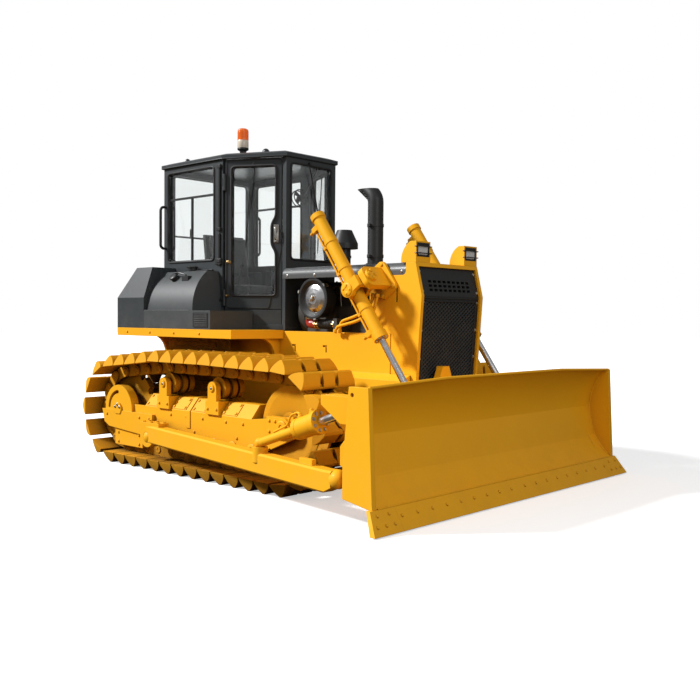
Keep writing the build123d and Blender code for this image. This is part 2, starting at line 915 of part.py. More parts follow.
def shoulder_tank(sign):
    """Tank with a bulging outer face that leans inward, sloped ends and a filler neck."""
    low_x = fender_rear_x + tank_depth
    high_x = cab_kink_x - panel_gap
    room = fender_half_width - cab_half_width
    low = (cab_half_width + room * shoulder_low_share, side_box_top_z)
    high = (cab_half_width + room * shoulder_top_share, shoulder_top_z)
    middle = ((low[0] + high[0]) / 2 + shoulder_bulge, (low[1] + high[1]) / 2 + shoulder_bulge)
    inner_low = (cab_half_width, side_box_top_z)
    inner_high = (cab_half_width, shoulder_top_z)
    section = make_face([ThreePointArc(low, middle, high), Line(high, inner_high),
                         Line(inner_high, inner_low), Line(inner_low, low)])
    body = extrude(Plane.YZ.offset(low_x) * section, high_x - low_x, dir=(1, 0, 0))
    ends = [(low_x, side_box_top_z), (high_x, side_box_top_z), (high_x - shoulder_end_slope, shoulder_top_z),
            (low_x, shoulder_top_z)]
    body = body & side_form(ends, cab_half_width, fender_half_width)
    neck_y = (cab_half_width + high[0]) / 2
    neck_x = (low_x + high_x) / 2
    neck_top_z = shoulder_top_z + filler_height
    body += bar((neck_x, neck_y, shoulder_top_z), (neck_x, neck_y, neck_top_z), filler_radius)
    return body if sign > 0 else other_side(body)


def cab_floor():
    """Floor plate with a sill under each door."""
    sill_shape = Polygon((door_start, cab_floor_z), (door_end, cab_floor_z), (door_end, door_sill_top_z),
                         (door_start, door_sill_top_z), align=None)
    sill = extrude(door_plane * sill_shape, door_thickness, dir=door_plane.z_dir)
    return plan_form(cab_outline(0), fender_top_z, cab_floor_z).fuse(*both_sides(sill))


def window(x_low, x_high, z_low, z_high):
    """Rounded opening, drawn flat."""
    middle = Location(((x_low + x_high) / 2, (z_low + z_high) / 2))
    return middle * RectangleRounded(x_high - x_low, z_high - z_low, window_corner)


window_top_z = roof_bottom_z - window_head
side_window = window(cab_rear_x + pillar, cab_kink_x - hinge_pillar, window_sill_z, window_top_z)
rear_window_half = cab_half_width - rear_window_side
rear_window = window(-rear_window_half, rear_window_half, window_sill_z, window_top_z)
front_window_half = cab_front_half - front_window_side
front_window = window(-front_window_half, front_window_half, window_sill_z, window_top_z)


def hinge_post(low, high, radius):
    return bar((hinge_x, hinge_y, low), (hinge_x, hinge_y, high), radius)


def pillar_hinges():
    """Knuckles on the pillar, above and below each of the door's own."""
    knuckles = []
    for middle in hinge_heights:
        for low in (middle - 2 * hinge_half, middle + hinge_half + running_gap):
            high = low + hinge_half - running_gap
            leaf = block(cab_kink_x - panel_gap / 2, hinge_x, hinge_y - hinge_leaf / 2,
                         hinge_y + hinge_leaf / 2, low, high)
            knuckles += [hinge_post(low, high, hinge_radius), leaf]
    return knuckles


def cab_side():
    """Rear side panel with its window, ending at the door's hinge pillar."""
    panel = block(cab_rear_x, cab_kink_x, cab_half_width - wall, cab_half_width, cab_floor_z, roof_bottom_z)
    opening = extrude(Plane.XZ * side_window, 2 * cab_half_width, both=True)
    return (panel - opening).fuse(*pillar_hinges())


def cab_rear():
    reach = cab_half_width - wall
    panel = block(cab_rear_x, cab_rear_x + wall, -reach, reach, cab_floor_z, roof_bottom_z)
    return panel - extrude(Plane.YZ.offset(cab_rear_x) * rear_window, wall, dir=(1, 0, 0))


def cab_front():
    """Front wall with the windscreen and the two corner pillars."""
    inner_x = cab_front_x - wall
    panel = block(inner_x, cab_front_x, -cab_front_half, cab_front_half, cab_floor_z, roof_bottom_z)
    return panel - extrude(Plane.YZ.offset(inner_x) * front_window, wall, dir=(1, 0, 0))


def cab_glass():
    """Fixed panes: two sides, rear and front."""
    half = glass_thickness / 2
    side = extrude(Plane.XZ.offset(wall / 2 - cab_half_width) * side_window, half, both=True)
    rear = extrude(Plane.YZ.offset(cab_rear_x + wall / 2) * rear_window, half, both=True)
    front = extrude(Plane.YZ.offset(cab_front_x - wall / 2) * front_window, half, both=True)
    return both_sides(side) + [rear, front]


def cab_roof():
    """Roof slab with a small overhang and a raised crown."""
    slab = plan_form(cab_outline(-roof_overhang), roof_bottom_z, roof_top_z)
    return chamfer(slab.faces().sort_by(Axis.Z)[-1].edges(), roof_crown, roof_crown * 3)


def door_pane():
    """Window of the door: rounded corners and a front edge that swings round the handle."""
    rear = door_start + door_stile
    front = door_end - door_stile
    low = door_low_z + door_kick
    high = door_high_z - door_head
    notched = front - pane_notch
    notch_low = pane_notch_low_z + pane_notch_run
    notch_high = pane_notch_high_z - pane_notch_run
    outline = Polygon((rear, low), (front, low), (front, pane_notch_low_z), (notched, notch_low),
                      (notched, notch_high), (front, pane_notch_high_z), (front, high), (rear, high),
                      align=None)
    return fillet(outline.vertices(), pane_corner)


def door(part):
    """Left door leaf with its hinge barrels, or its pane."""
    pane = door_pane()
    if part == "glass":
        return extrude(door_plane.offset(door_thickness / 2) * pane, glass_thickness / 2, both=True)
    leaf = Polygon((door_start, door_low_z), (door_end, door_low_z), (door_end, door_high_z),
                   (door_start, door_high_z), align=None)
    slab = extrude(door_plane * (leaf - pane), door_thickness, dir=door_plane.z_dir)
    for middle in hinge_heights:
        slab -= hinge_post(middle - 2 * hinge_half - panel_gap, middle + 2 * hinge_half + panel_gap,
                           hinge_radius + hinge_notch)
        slab += hinge_post(middle - hinge_half, middle + hinge_half, hinge_radius)
        pad = Location((door_start + hinge_pad / 3, middle)) * Rectangle(hinge_pad, 2 * hinge_half)
        slab += extrude(door_plane * pad, door_thickness / 2, dir=door_plane.z_dir)
    return slab


seat_rear_x = seat_x - seat_half
seat_front_x = seat_x + seat_half
pan_top_z = seat_pan_z + seat_pan


def seat():
    """Pedestal, pan, leaning back shell and armrests of the operator's seat."""
    pedestal_block = block(seat_x - seat_base_half, seat_x + seat_base_half, -seat_base_half, seat_base_half,
                           cab_floor_z, seat_pan_z)
    pan = block(seat_rear_x, seat_front_x, -seat_half, seat_half, seat_pan_z, pan_top_z)
    top_z = pan_top_z + seat_back_height
    back = side_form([(seat_rear_x, seat_pan_z), (seat_rear_x + seat_back_shell, pan_top_z),
                      (seat_rear_x + seat_back_shell - seat_back_lean, top_z),
                      (seat_rear_x - seat_back_lean, top_z)], -seat_half, seat_half)
    frame = pedestal_block + pan + back
    for low in (-seat_half - armrest_width, seat_half):
        rest = block(seat_rear_x, seat_x + seat_half / 2, low, low + armrest_width, armrest_z,
                     armrest_z + armrest_height)
        post = block(seat_x, seat_x + armrest_width, low, low + armrest_width, seat_pan_z, armrest_z)
        frame = frame.fuse(rest, post)
    return frame


def seat_pads():
    """Cushion on the pan and pad on the back shell."""
    front = seat_rear_x + seat_back_shell + seat_back_pad
    half = seat_half - panel_gap
    low = pan_top_z + running_gap
    high = pan_top_z + seat_back_height
    face = seat_rear_x + seat_back_shell + running_gap
    cushion = block(front + running_gap, seat_front_x, -half, half, low, pan_top_z + seat_pad)
    back = side_form([(face, low), (front, low), (front - seat_back_lean, high),
                      (face - seat_back_lean, high)], -half, half)
    return [cushion, back]


def console():
    """Dash behind the windscreen and a lever stand on each side of the seat."""
    front_x = cab_front_x - wall
    rear_x = front_x - dash_depth
    dash = side_form([(rear_x, cab_floor_z), (front_x, cab_floor_z), (front_x, dash_top_z),
                      (rear_x + dash_slope / 2, dash_top_z), (rear_x, dash_top_z - dash_slope)],
                     -dash_half, dash_half)
    stand_x = seat_front_x + lever_box_half
    stand = block(stand_x - lever_box_half, stand_x + lever_box_half, lever_side_y - lever_box_half,
                  lever_side_y + lever_box_half, cab_floor_z, lever_box_top_z)
    top = (stand_x + lever_box_half, lever_side_y, lever_box_top_z + lever_height / 2)
    lever = bar((stand_x, lever_side_y, lever_box_top_z - lever_radius), top, lever_radius)
    return [dash] + both_sides(stand.fuse(lever, ball(top, knob_radius)))


def engine():
    """Block, head, valve cover, flywheel housing, manifold, hose flange and cooling fan."""
    crank_z = (hull_top_z + engine_sump_z) / 2
    block_low = block(engine_rear_x, engine_front_x, -engine_half_width, engine_half_width, hull_top_z,
                      engine_sump_z)
    head = block(engine_rear_x, engine_front_x, -head_half_width, head_half_width, engine_sump_z, head_top_z)
    cover_outline = Polygon((-cover_half_width, head_top_z), (cover_half_width, head_top_z),
                            (cover_half_width, cover_top_z), (-cover_half_width, cover_top_z), align=None)
    cover_outline = chamfer(cover_outline.vertices().sort_by(Axis.Y)[-2:], cover_half_width / 3)
    cover = extrude(Plane.YZ.offset(engine_rear_x + flywheel_depth) * cover_outline,
                    engine_front_x - engine_rear_x - 2 * flywheel_depth, dir=(1, 0, 0))
    flywheel_z = hull_top_z + flywheel_radius
    flywheel_x = engine_rear_x - flywheel_depth
    flywheel = bar((flywheel_x, 0, flywheel_z), (engine_rear_x, 0, flywheel_z), flywheel_radius)
    fan_z = hull_top_z + fan_radius + fan_gap / 2
    fan_x = engine_front_x + fan_gap
    shaft = bar((engine_front_x, 0, crank_z), (fan_x, 0, crank_z), fan_shaft_radius)
    fan = bar((fan_x, 0, fan_z), (fan_x + fan_depth, 0, fan_z), fan_radius)
    manifold_z = (engine_sump_z + head_top_z) / 2
    manifold_y = head_half_width + manifold_reach
    manifold = bar((engine_rear_x + flywheel_depth, manifold_y, manifold_z),
                   (engine_front_x - flywheel_depth, manifold_y, manifold_z), manifold_radius)
    ports = []
    for share in (1, 3, 5):
        x = engine_rear_x + (engine_front_x - engine_rear_x) * share / 6
        ports.append(cross_bar(x, manifold_z, manifold_port_radius, head_half_width, manifold_y))
    flange_half = hose_radius + panel_gap
    flange = block(hose_front_x, hose_front_x + hose_flange, -hose_y - flange_half, -engine_half_width,
                   hose_low_z - flange_half, hose_low_z + flange_half)
    return block_low.fuse(head, cover, flywheel, shaft, fan, manifold, flange, *ports)


def air_cleaner():
    """Large filter drum lying across the bay, with a rubber rim, an outlet and an arm to the head."""
    x, z = filter_centre
    inner_y = filter_outer_y - filter_depth
    rim_y = filter_outer_y - filter_rim_depth
    rim = filter_radius + filter_rim
    drum = turned([(0, inner_y), (filter_radius, inner_y), (filter_radius, rim_y), (rim, rim_y),
                   (rim, filter_outer_y), (filter_radius - filter_rim, filter_outer_y),
                   (bowl_radius, filter_outer_y - filter_dish), (0, filter_outer_y - filter_dish)])
    drum = Location((x, 0, z)) * drum
    arm = cross_bar(x, z, filter_arm_radius, head_half_width, inner_y)
    outlet = bar((hose_rear_x, hose_y, z), (hose_rear_x, hose_y, hose_top_z), hose_radius)
    return other_side(drum.fuse(arm, outlet))


def filter_bowl():
    """Domed steel bowl seated in the drum's face."""
    x, z = filter_centre
    seat_y = filter_outer_y - filter_dish
    dome = turned([(0, seat_y), (bowl_radius, seat_y), (bowl_shoulder_radius, seat_y + bowl_shoulder_rise),
                   (bowl_crown_radius, seat_y + bowl_rise), (0, seat_y + bowl_rise)])
    return other_side(Location((x, 0, z)) * dome)


def intake_hose():
    """Bent hose from the drum's outlet to the flange on the engine."""
    path = FilletPolyline((hose_rear_x, -hose_y, hose_top_z), (hose_rear_x, -hose_y, hose_low_z),
                          (hose_front_x, -hose_y, hose_low_z), radius=hose_bend)
    return sweep(Plane(path @ 0, z_dir=path % 0) * Circle(hose_radius), path)


def shell_profile(offset):
    """Side outline of the radiator shell's front, moved back by an offset."""
    return [(shell_rear_x, shell_top_z), (shell_front_top_x - offset, shell_top_z),
            (shell_front_knee_x - offset, shell_knee_z), (shell_front_low_x - offset, nose_z),
            (nose_x, nose_z), (nose_x, rail_plate_top), (shell_rear_x, rail_plate_top)]


def hood_side(front_x):
    """Side outline of the hood, rounded at its lower front corner."""
    outline = Polygon((hood_rear_x, hood_bottom_z), (front_x, hood_bottom_z), (front_x, shell_top_z),
                      (hood_rear_x, shell_top_z), align=None)
    corner = outline.vertices().sort_by(Axis.X)[-2:].sort_by(Axis.Y)[:1]
    return Plane.XZ * fillet(corner, hood_notch_radius)


def radiator_shell():
    """Side walls, top and front rim round the radiator, cut back for the hood, with hook slots."""
    body = side_form(shell_profile(0), -shell_half_width, shell_half_width)
    inner = shell_half_width - shell_wall
    inside = block(shell_rear_x, shell_front_knee_x, -inner, inner, nose_z, shell_top_z - shell_wall)
    notch = extrude(hood_side(hood_front_x), shell_half_width, both=True)
    upright_slot = [(shell_slot_x, shell_slot_low_z), (shell_slot_x + slot_width, shell_slot_low_z),
                    (shell_slot_x + slot_width, shell_slot_high_z), (shell_slot_x, shell_slot_high_z)]
    hook = hook_slot(shell_hook_x, shell_hook_high_z, shell_hook_low_z, shell_hook_length)
    slots = []
    for outline in (upright_slot, hook):
        slots += both_sides(side_form(outline, inner, shell_half_width))
    return body.cut(inside, notch, *slots)


def grille():
    """Panel set into the front rim, following its knee: perforated above, a sunk mesh field below."""
    inner = shell_half_width - shell_wall
    face = shell_profile(grille_depth)
    back = shell_profile(grille_depth + grille_thickness)
    top_z = shell_top_z - shell_wall
    share = (top_z - shell_knee_z) / (shell_top_z - shell_knee_z)
    top_shift = (face[1][0] - face[2][0]) * share
    outline = [(face[2][0] + top_shift, top_z), face[2], face[3], back[3], back[2],
               (back[2][0] + top_shift, top_z)]
    panel = side_form(outline, -inner, inner)
    slope = (face[2][0] - face[3][0]) / (shell_knee_z - nose_z)
    low_z = nose_z + grille_border
    high_z = shell_knee_z - grille_border
    low_x = face[3][0] + slope * grille_border
    high_x = face[2][0] - slope * grille_border
    pocket = side_form([(low_x - grille_pocket, low_z), (low_x + grille_depth, low_z),
                        (high_x + grille_depth, high_z), (high_x - grille_pocket, high_z)],
                       grille_border - inner, inner - grille_border)
    holes = []
    for z in grille_hole_rows:
        for index in range(grille_holes):
            y = (index - (grille_holes - 1) / 2) * grille_hole_step
            half_width = grille_hole_width / 2
            half_height = grille_hole_height / 2
            holes.append(block(nose_x, shell_front_knee_x, y - half_width, y + half_width,
                               z - half_height, z + half_height))
    return panel.cut(pocket, *holes)


def radiator_core():
    inner = shell_half_width - shell_wall
    return block(nose_x + core_rear, nose_x + core_rear + core_depth, -inner, inner, nose_z,
                 hood_bottom_z + core_top_gap - hood_skin)


def hood():
    """Bent hood plate with rounded shoulders and a rounded front corner on each side."""
    outer = Polygon((-shell_half_width, hood_bottom_z), (shell_half_width, hood_bottom_z),
                    (shell_half_width, shell_top_z), (-shell_half_width, shell_top_z), align=None)
    outer = fillet(outer.vertices().sort_by(Axis.Y)[-2:], hood_corner)
    inner = offset(outer, -hood_skin)
    inner += Location((0, hood_bottom_z)) * Rectangle(2 * (shell_half_width - hood_skin), hood_corner)
    length = hood_front_x - hood_rear_x
    plate = extrude(Plane.YZ.offset(hood_rear_x) * (outer - inner), length, dir=(1, 0, 0))
    return plate & extrude(hood_side(hood_front_x), shell_half_width, both=True)


lamp_top_z = shell_top_z + lamp_height


def lamp_pocket():
    """Space of the lamp unit inside its housing."""
    return block(lamp_front_x - lamp_unit_depth, lamp_front_x, lamp_low_y + lamp_shell,
                 lamp_high_y - lamp_shell, shell_top_z + lamp_unit_low, lamp_top_z - lamp_shell)


def headlamp():
    """Lamp housing on the shell's corner, round at the back and open in front."""
    rear = lamp_front_x - lamp_depth
    shoulder = (lamp_front_x - lamp_roof, lamp_top_z)
    bend = (rear + lamp_bend_in, shell_top_z + lamp_bend_up)
    edge = [Line((rear, shell_top_z), (lamp_front_x, shell_top_z)),
            Line((lamp_front_x, shell_top_z), (lamp_front_x, lamp_top_z)),
            Line((lamp_front_x, lamp_top_z), shoulder), ThreePointArc(shoulder, bend, (rear, shell_top_z))]
    width = lamp_high_y - lamp_low_y
    housing = extrude(Plane.XZ.offset(-lamp_low_y) * make_face(edge), width, dir=(0, 1, 0))
    return housing - lamp_pocket()


def lamp_unit():
    """Lamp box in its housing, with a dished face."""
    face_x = lamp_front_x - lamp_unit_proud
    dish = block(face_x, lamp_front_x, lamp_low_y + 2 * lamp_shell, lamp_high_y - 2 * lamp_shell,
                 shell_top_z + lamp_unit_low + lamp_shell, lamp_top_z - 3 * lamp_shell)
    return lamp_pocket() - dish


def exhaust_stack():
    """Upright pipe on a flange, with a mouth bent to the rear and cut level."""
    low = (exhaust_x, 0, shell_top_z + exhaust_flange)
    mouth = (exhaust_x - 2 * exhaust_lean, 0, exhaust_top_z + exhaust_lean)
    path = FilletPolyline(low, (exhaust_x, 0, exhaust_bend_z), mouth, radius=exhaust_bend_radius)
    pipe = sweep(Plane(path @ 0, z_dir=path % 0) * Circle(exhaust_radius), path)
    trim = block(exhaust_x - 4 * exhaust_lean, exhaust_x + 2 * exhaust_lean, -2 * exhaust_radius,
                 2 * exhaust_radius, exhaust_top_z, exhaust_top_z + 4 * exhaust_lean)
    flange = bar((exhaust_x, 0, shell_top_z), low, exhaust_flange_radius)
    return pipe - trim + flange


def precleaner():
    """Mushroom-shaped intake cap on a short pipe."""
    return upright([(0, shell_top_z), (precleaner_stem_radius, shell_top_z),
                    (precleaner_stem_radius, precleaner_stem_top_z),
                    (precleaner_cap_radius, precleaner_stem_top_z),
                    (precleaner_cap_radius, precleaner_stem_top_z + precleaner_skirt),
                    (precleaner_crown_radius, precleaner_cap_top_z), (0, precleaner_cap_top_z)],
                   precleaner_x, 0)


def beacon():
    """Domed lamp on a stem and a round foot."""
    stem_z = roof_top_z + beacon_base
    lamp_z = stem_z + beacon_stem
    top_z = lamp_z + beacon_height
    return upright([(0, roof_top_z), (beacon_base_radius, roof_top_z), (beacon_stem_radius, stem_z),
                    (beacon_stem_radius, lamp_z), (beacon_radius, lamp_z),
                    (beacon_radius, top_z - beacon_dome), (beacon_radius - beacon_dome / 2, top_z),
                    (0, top_z)], beacon_x, beacon_y)


def grab_handle():
    """Tube handle on the cab's rear corner."""
    x = cab_rear_x + handle_inset
    y = cab_half_width + handle_out
    path = FilletPolyline((x, cab_half_width, handle_low_z), (x, y, handle_low_z), (x, y, handle_high_z),
                          (x, cab_half_width, handle_high_z), radius=handle_bend)
    return sweep(Plane(path @ 0, z_dir=path % 0) * Circle(handle_radius), path)


# Blade
def blade_curve(offset):
    """Hollow front line of the blade, moved back by an offset, from its top to its foot."""
    chord = (blade_top_x + blade_low_x) / 2
    return ((blade_top_x - offset, blade_crown_z), (chord - blade_hollow - offset, blade_middle_z),
            (blade_low_x - offset, blade_low_z))


def moldboard():
    """Hollow plate with a crowned top, end plates, back rib and push pads."""
    top, middle, low = blade_curve(0)
    back_top, back_middle, back_low = blade_curve(blade_skin)
    section = make_face([ThreePointArc(top, middle, low), Line(low, back_low),
                         ThreePointArc(back_low, back_middle, back_top), Line(back_top, top)])
    plate = extrude(Plane.XZ * section, blade_half_width, both=True)
    crown = [(-blade_half_width, 0), (blade_half_width, 0), (blade_half_width, blade_end_z),
             (blade_crown_half, blade_crown_z), (-blade_crown_half, blade_crown_z),
             (-blade_half_width, blade_end_z)]
    plate = plate & front_form(crown, rib_rear_x, blade_low_x + edge_reach)
    bulge_x = end_plate_rear_x - end_plate_bulge
    ends = [(end_plate_rear_x, blade_end_z), (blade_top_x, blade_end_z), (blade_low_x, blade_low_z),
            (blade_low_x - end_plate, blade_low_z), (bulge_x, end_plate_low_z), (bulge_x, end_plate_fold_z)]
    end = side_form(ends, blade_half_width - end_plate, blade_half_width)
    end -= cross_bar(end_plate_rear_x + lifting_eye_inset, lifting_eye_z, lifting_eye_radius,
                     blade_half_width - end_plate, blade_half_width)
    return plate.fuse(end, other_side(end), *blade_back())


arm_tip_y = blade_half_width - arm_tip_inset
brace_ball = (brace_ball_x, arm_tip_y - brace_ball_inset, brace_ball_z)
brace_eye = (brace_eye_x, arm_tip_y - brace_eye_inset, brace_eye_z)


def behind_blade(z):
    """Place just inside the plate's back at a height."""
    top, middle, low = blade_curve(blade_skin)
    arc = ThreePointArc(top, middle, low)
    cut = arc.intersect(Line((rib_rear_x - end_plate, z), (blade_low_x, z)))
    points = cut if isinstance(cut, list) else [cut]
    return points[0].center().X + blade_skin / 2


def blade_back():
    """Box rib across the back and the push pads."""
    half = blade_half_width - end_plate
    rib = side_form([(rib_rear_x, rib_low_z), (rib_rear_x, rib_high_z),
                     (behind_blade(rib_high_z + rib_spread), rib_high_z + rib_spread),
                     (behind_blade(rib_low_z - rib_spread), rib_low_z - rib_spread)], -half, half)
    pad_x = arm_tip_x + tip_ball + running_gap
    pad = side_form([(pad_x, pad_low_z), (pad_x, pad_high_z), (behind_blade(pad_high_z), pad_high_z),
                     (behind_blade(pad_low_z), pad_low_z)], arm_tip_y - pad_inner, half)
    return [rib, pad, other_side(pad)]


def back_line(z_low, z_high):
    """Straight line that just clears the plate's back between two heights, as its low and high end."""
    half = math.hypot(blade_top_x - blade_low_x, blade_crown_z - blade_low_z) / 2
    back_radius = (half ** 2 + blade_hollow ** 2) / (2 * blade_hollow)
    x_low = behind_blade(z_low) - blade_skin / 2
    x_high = behind_blade(z_high) - blade_skin / 2
    chord = math.hypot(x_high - x_low, z_high - z_low)
    rise = back_radius - math.sqrt(back_radius ** 2 - chord ** 2 / 4)
    bulge = rise * chord / (z_high - z_low) + 2 * running_gap
    return (x_low - bulge, z_low), (x_high - bulge, z_high)


def lift_ear(y_low):
    """Ear for the lift rod's eye, standing on the slope of the back rib."""
    x, z = lift_eye
    rib_top_z = rib_high_z + rib_spread
    seat_x = rib_rear_x + (behind_blade(rib_top_z) - rib_rear_x) * ear_seat_share
    seat_z = rib_high_z + rib_spread * ear_seat_share
    low, high = back_line(seat_z - eye_radius / 3, z + 2 * eye_radius)
    seat_share = (low[0] - rib_rear_x) / (seat_x - rib_rear_x)
    outline = [(x - ear_overlap, z - eye_radius), (x - ear_overlap - eye_radius / 2, z + eye_radius / 2),
               (x + eye_radius, high[1]), high,
               (low[0], rib_high_z + (seat_z - rib_high_z) * seat_share), (rib_rear_x, rib_high_z)]
    return side_form(outline, y_low, y_low + ear_thickness)


def brace_bracket():
    """Channel reaching back from the plate: two ears joined by a top plate."""
    x, y, z = brace_eye
    low, high = back_line(z - eye_radius - ear_overlap, bracket_arm_top_z)
    ear = [(bracket_arm_rear_x, bracket_arm_low_z), (bracket_arm_rear_x, bracket_arm_top_z), high, low,
           (x - eye_radius / 2, low[1])]
    plate_z = bracket_arm_top_z - bracket_arm_plate
    top = [(bracket_arm_rear_x, plate_z), (bracket_arm_rear_x, bracket_arm_top_z), high, (x, plate_z)]
    inner = brace_eye_width / 2 + brace_ear_gap
    outer = inner + ear_thickness
    cover = side_form(top, y - outer, y + outer)
    return cover.fuse(side_form(ear, y - outer, y - inner), side_form(ear, y + inner, y + outer))


def blade_lugs():
    """Two ears for each lift rod and a channel for each brace, on the blade's back."""
    inner = lift_eye_width / 2 + lift_ear_gap
    ears = [lift_ear(y_low) for y_low in (lift_y - inner - ear_thickness, lift_y + inner)]
    lugs = []
    for piece in ears + [brace_bracket()]:
        lugs += both_sides(piece)
    return lugs


def edge_section():
    """Side outline of the cutting edge plate."""
    tip_x = blade_low_x + edge_reach
    top_z = blade_low_z - running_gap
    return [(tip_x, edge_lift), (tip_x - edge_thickness - edge_bevel, edge_lift),
            (blade_low_x - edge_thickness, top_z), (blade_low_x + edge_lap, top_z)]


def cutting_edge():
    """Two edge plates that meet in the middle."""
    half = blade_half_width - bit_length
    return both_sides(side_form(edge_section(), running_gap, half))


def end_bit():
    """Outer corner of the edge, flared outward at the bottom."""
    start = blade_half_width - bit_length
    end = blade_half_width + bit_overhang
    body = side_form(edge_section(), start, end)
    trim = front_form([(end, edge_lift), (end, blade_low_z), (blade_half_width + bit_flare, blade_low_z)],
                      blade_low_x - edge_thickness, blade_low_x + edge_reach)
    return body - trim


# Push arms and the cylinders
arm_start = Vector(arm_pivot_x, arm_pivot_y, arm_pivot_z)
arm_end = Vector(arm_tip_x, arm_tip_y, arm_pivot_z)


def push_arm():
    """Flared box arm with a capped ball socket behind, a lug and a brace cup on top, and a ball end."""
    lean = math.degrees(math.atan2(arm_tip_y - arm_pivot_y, arm_tip_x - arm_pivot_x))
    length = (arm_end - arm_start).length
    half = arm_height / 2
    shoulder = length - arm_nose - arm_neck
    nose = length - arm_neck
    outline = [(0, arm_rear_rise - half), (shoulder, -arm_front_drop - half), (nose, -arm_nose_half),
               (nose, arm_nose_half), (shoulder, half - arm_front_drop), (0, half + arm_rear_rise)]
    box = extrude(Plane.XZ * Polygon(*outline, align=None), arm_width / 2, both=True)
    ridges = [edge for edge in box.edges().filter_by(GeomType.LINE) if edge.length > length / 2]
    box = chamfer(ridges, arm_chamfer)
    lug_start = length - arm_lug_back
    lug = block(lug_start, lug_start + arm_lug_length, -arm_lug_width / 2, arm_lug_width / 2, 0,
                half - arm_front_drop + arm_lug_height)
    box = Location((arm_pivot_x, arm_pivot_y, arm_pivot_z), (0, 0, lean)) * (box + lug)
    collar_reach = arm_width / 2 - collar_trim
    collar_radius = trunnion_ball + socket_wall
    collar_z = arm_pivot_z + arm_rear_rise / 2
    inner_y = arm_pivot_y - collar_reach
    outer_y = arm_pivot_y + collar_reach
    collar = cross_bar(arm_pivot_x, collar_z, collar_radius, inner_y, outer_y)
    cap = block(arm_pivot_x - collar_radius, arm_pivot_x + socket_cap_length, inner_y, outer_y, collar_z,
                collar_z + collar_radius + socket_cap)
    socket = ball(arm_start, trunnion_ball + running_gap)
    tip = ball(arm_end, tip_ball)
    trim = block(arm_pivot_x - socket_cap_length, arm_pivot_x + 2 * socket_cap_length,
                 arm_pivot_y - 2 * arm_width, inner_y, 0, 2 * arm_pivot_z)
    cup_x, cup_y, cup_z = brace_ball
    cup_radius = brace_ball_radius + brace_cup_wall
    cup = bar((cup_x, cup_y, arm_pivot_z), (cup_x, cup_y, cup_z - brace_cup_drop), cup_radius)
    cup_seat = ball(brace_ball, brace_ball_radius + running_gap)
    return (box - trim).fuse(collar, cap, tip, cup).cut(socket, cup_seat)


def trunnion_pin_piece():
    """Ball on a short pin, carried in the track frame's boss."""
    inner = frame_outer - frame_wall / 2 + collar_trim
    pin = cross_bar(arm_pivot_x, arm_pivot_z, trunnion_pin, inner, arm_pivot_y)
    return pin + ball(arm_start, trunnion_ball)


def lift_point(distance):
    """Point on the lift cylinder's axis, at a distance below its pivot."""
    start = (lift_pivot[0], lift_y, lift_pivot[1])
    end = (lift_eye[0], lift_y, lift_eye[1])
    return along(start, end, distance)


def lift_frame(distance):
    """Plane square to the front side of the lift cylinder, at a distance from its pivot."""
    aim = lift_point(1) - lift_point(0)
    front = Vector(-aim.Z, 0, aim.X)
    return Plane(lift_point(0) + front * distance, x_dir=(0, 1, 0), z_dir=front)


yoke_inner = lift_barrel_radius + yoke_gap
yoke_outer = yoke_inner + yoke_arm
yoke_cheek_radius = lift_trunnion_radius + yoke_cheek_rise


def lift_barrel():
    """Hollow barrel with a rear cap, gland ring, trunnion collar and a feed pipe between two ports."""
    rear = -lift_rear_reach
    front = lift_gland_reach
    low = rear + lift_cap_length
    high = front - lift_gland_length
    ring_radius = lift_barrel_radius + lift_cap_rise
    tube = bar(lift_point(rear), lift_point(front), lift_barrel_radius)
    cap = bar(lift_point(rear), lift_point(low), ring_radius)
    gland = bar(lift_point(high), lift_point(front), ring_radius)
    collar_outline = Rectangle(2 * collar_half_width, 2 * collar_half)
    collar = extrude(lift_frame(-ring_radius) * collar_outline, ring_radius)
    x, z = lift_pivot
    pins = cross_bar(x, z, lift_trunnion_radius, lift_y - yoke_outer, lift_y + yoke_outer)
    back = lift_frame(0).z_dir * -1
    port_ends = (low + 2 * lift_port_half, high - 2 * lift_port_half)
    pipe = bar(*[lift_point(place) + back * lift_pipe_offset for place in port_ends], lift_pipe_radius)
    ports = []
    for place in port_ends:
        seat = Plane(lift_point(place), x_dir=(0, 1, 0), z_dir=back)
        outline = seat * Rectangle(2 * lift_port_half, 2 * lift_port_half)
        ports.append(extrude(outline, lift_pipe_offset + 2 * lift_pipe_radius))
    bore = bar(lift_point(low), lift_point(high), lift_bore_radius)
    throat = bar(lift_point(0), lift_point(front), lift_rod_radius + running_gap)
    return tube.fuse(cap, gland, collar, pins, pipe, *ports).cut(bore, throat)


def lift_rod():
    """Chromed rod with an eye outside."""
    reach = (Vector(*lift_eye) - Vector(*lift_pivot)).length
    rod = bar(lift_point(reach - lift_rod_length), lift_point(reach), lift_rod_radius)
    half = lift_eye_width / 2
    eye = cross_bar(lift_eye[0], lift_eye[1], eye_radius, lift_y - half, lift_y + half)
    return rod + eye


def lift_yoke():
    """Fork round the barrel: two cheeks, a bridge in front of the barrel and its swivel pin."""
    x, z = lift_pivot
    cheeks = []
    for low in (-yoke_outer, yoke_inner):
        ring = cross_bar(x, z, yoke_cheek_radius, lift_y + low, lift_y + low + yoke_arm)
        web = extrude(lift_frame(0) * Location((low + yoke_arm / 2, 0)) * Rectangle(yoke_arm, yoke_web),
                      yoke_bridge_near + yoke_bridge)
        cheeks.append(ring + web)
    bridge = extrude(lift_frame(yoke_bridge_near) * Rectangle(2 * yoke_outer, yoke_web), yoke_bridge)
    pin_length = yoke_bridge + bracket_gap + bracket_plate
    pin = extrude(lift_frame(yoke_bridge_near) * Circle(yoke_pin_radius), pin_length)
    hole = cross_bar(x, z, lift_trunnion_radius + running_gap, lift_y - yoke_outer, lift_y + yoke_outer)
    return cheeks[0] + cheeks[1] + bridge + pin - hole


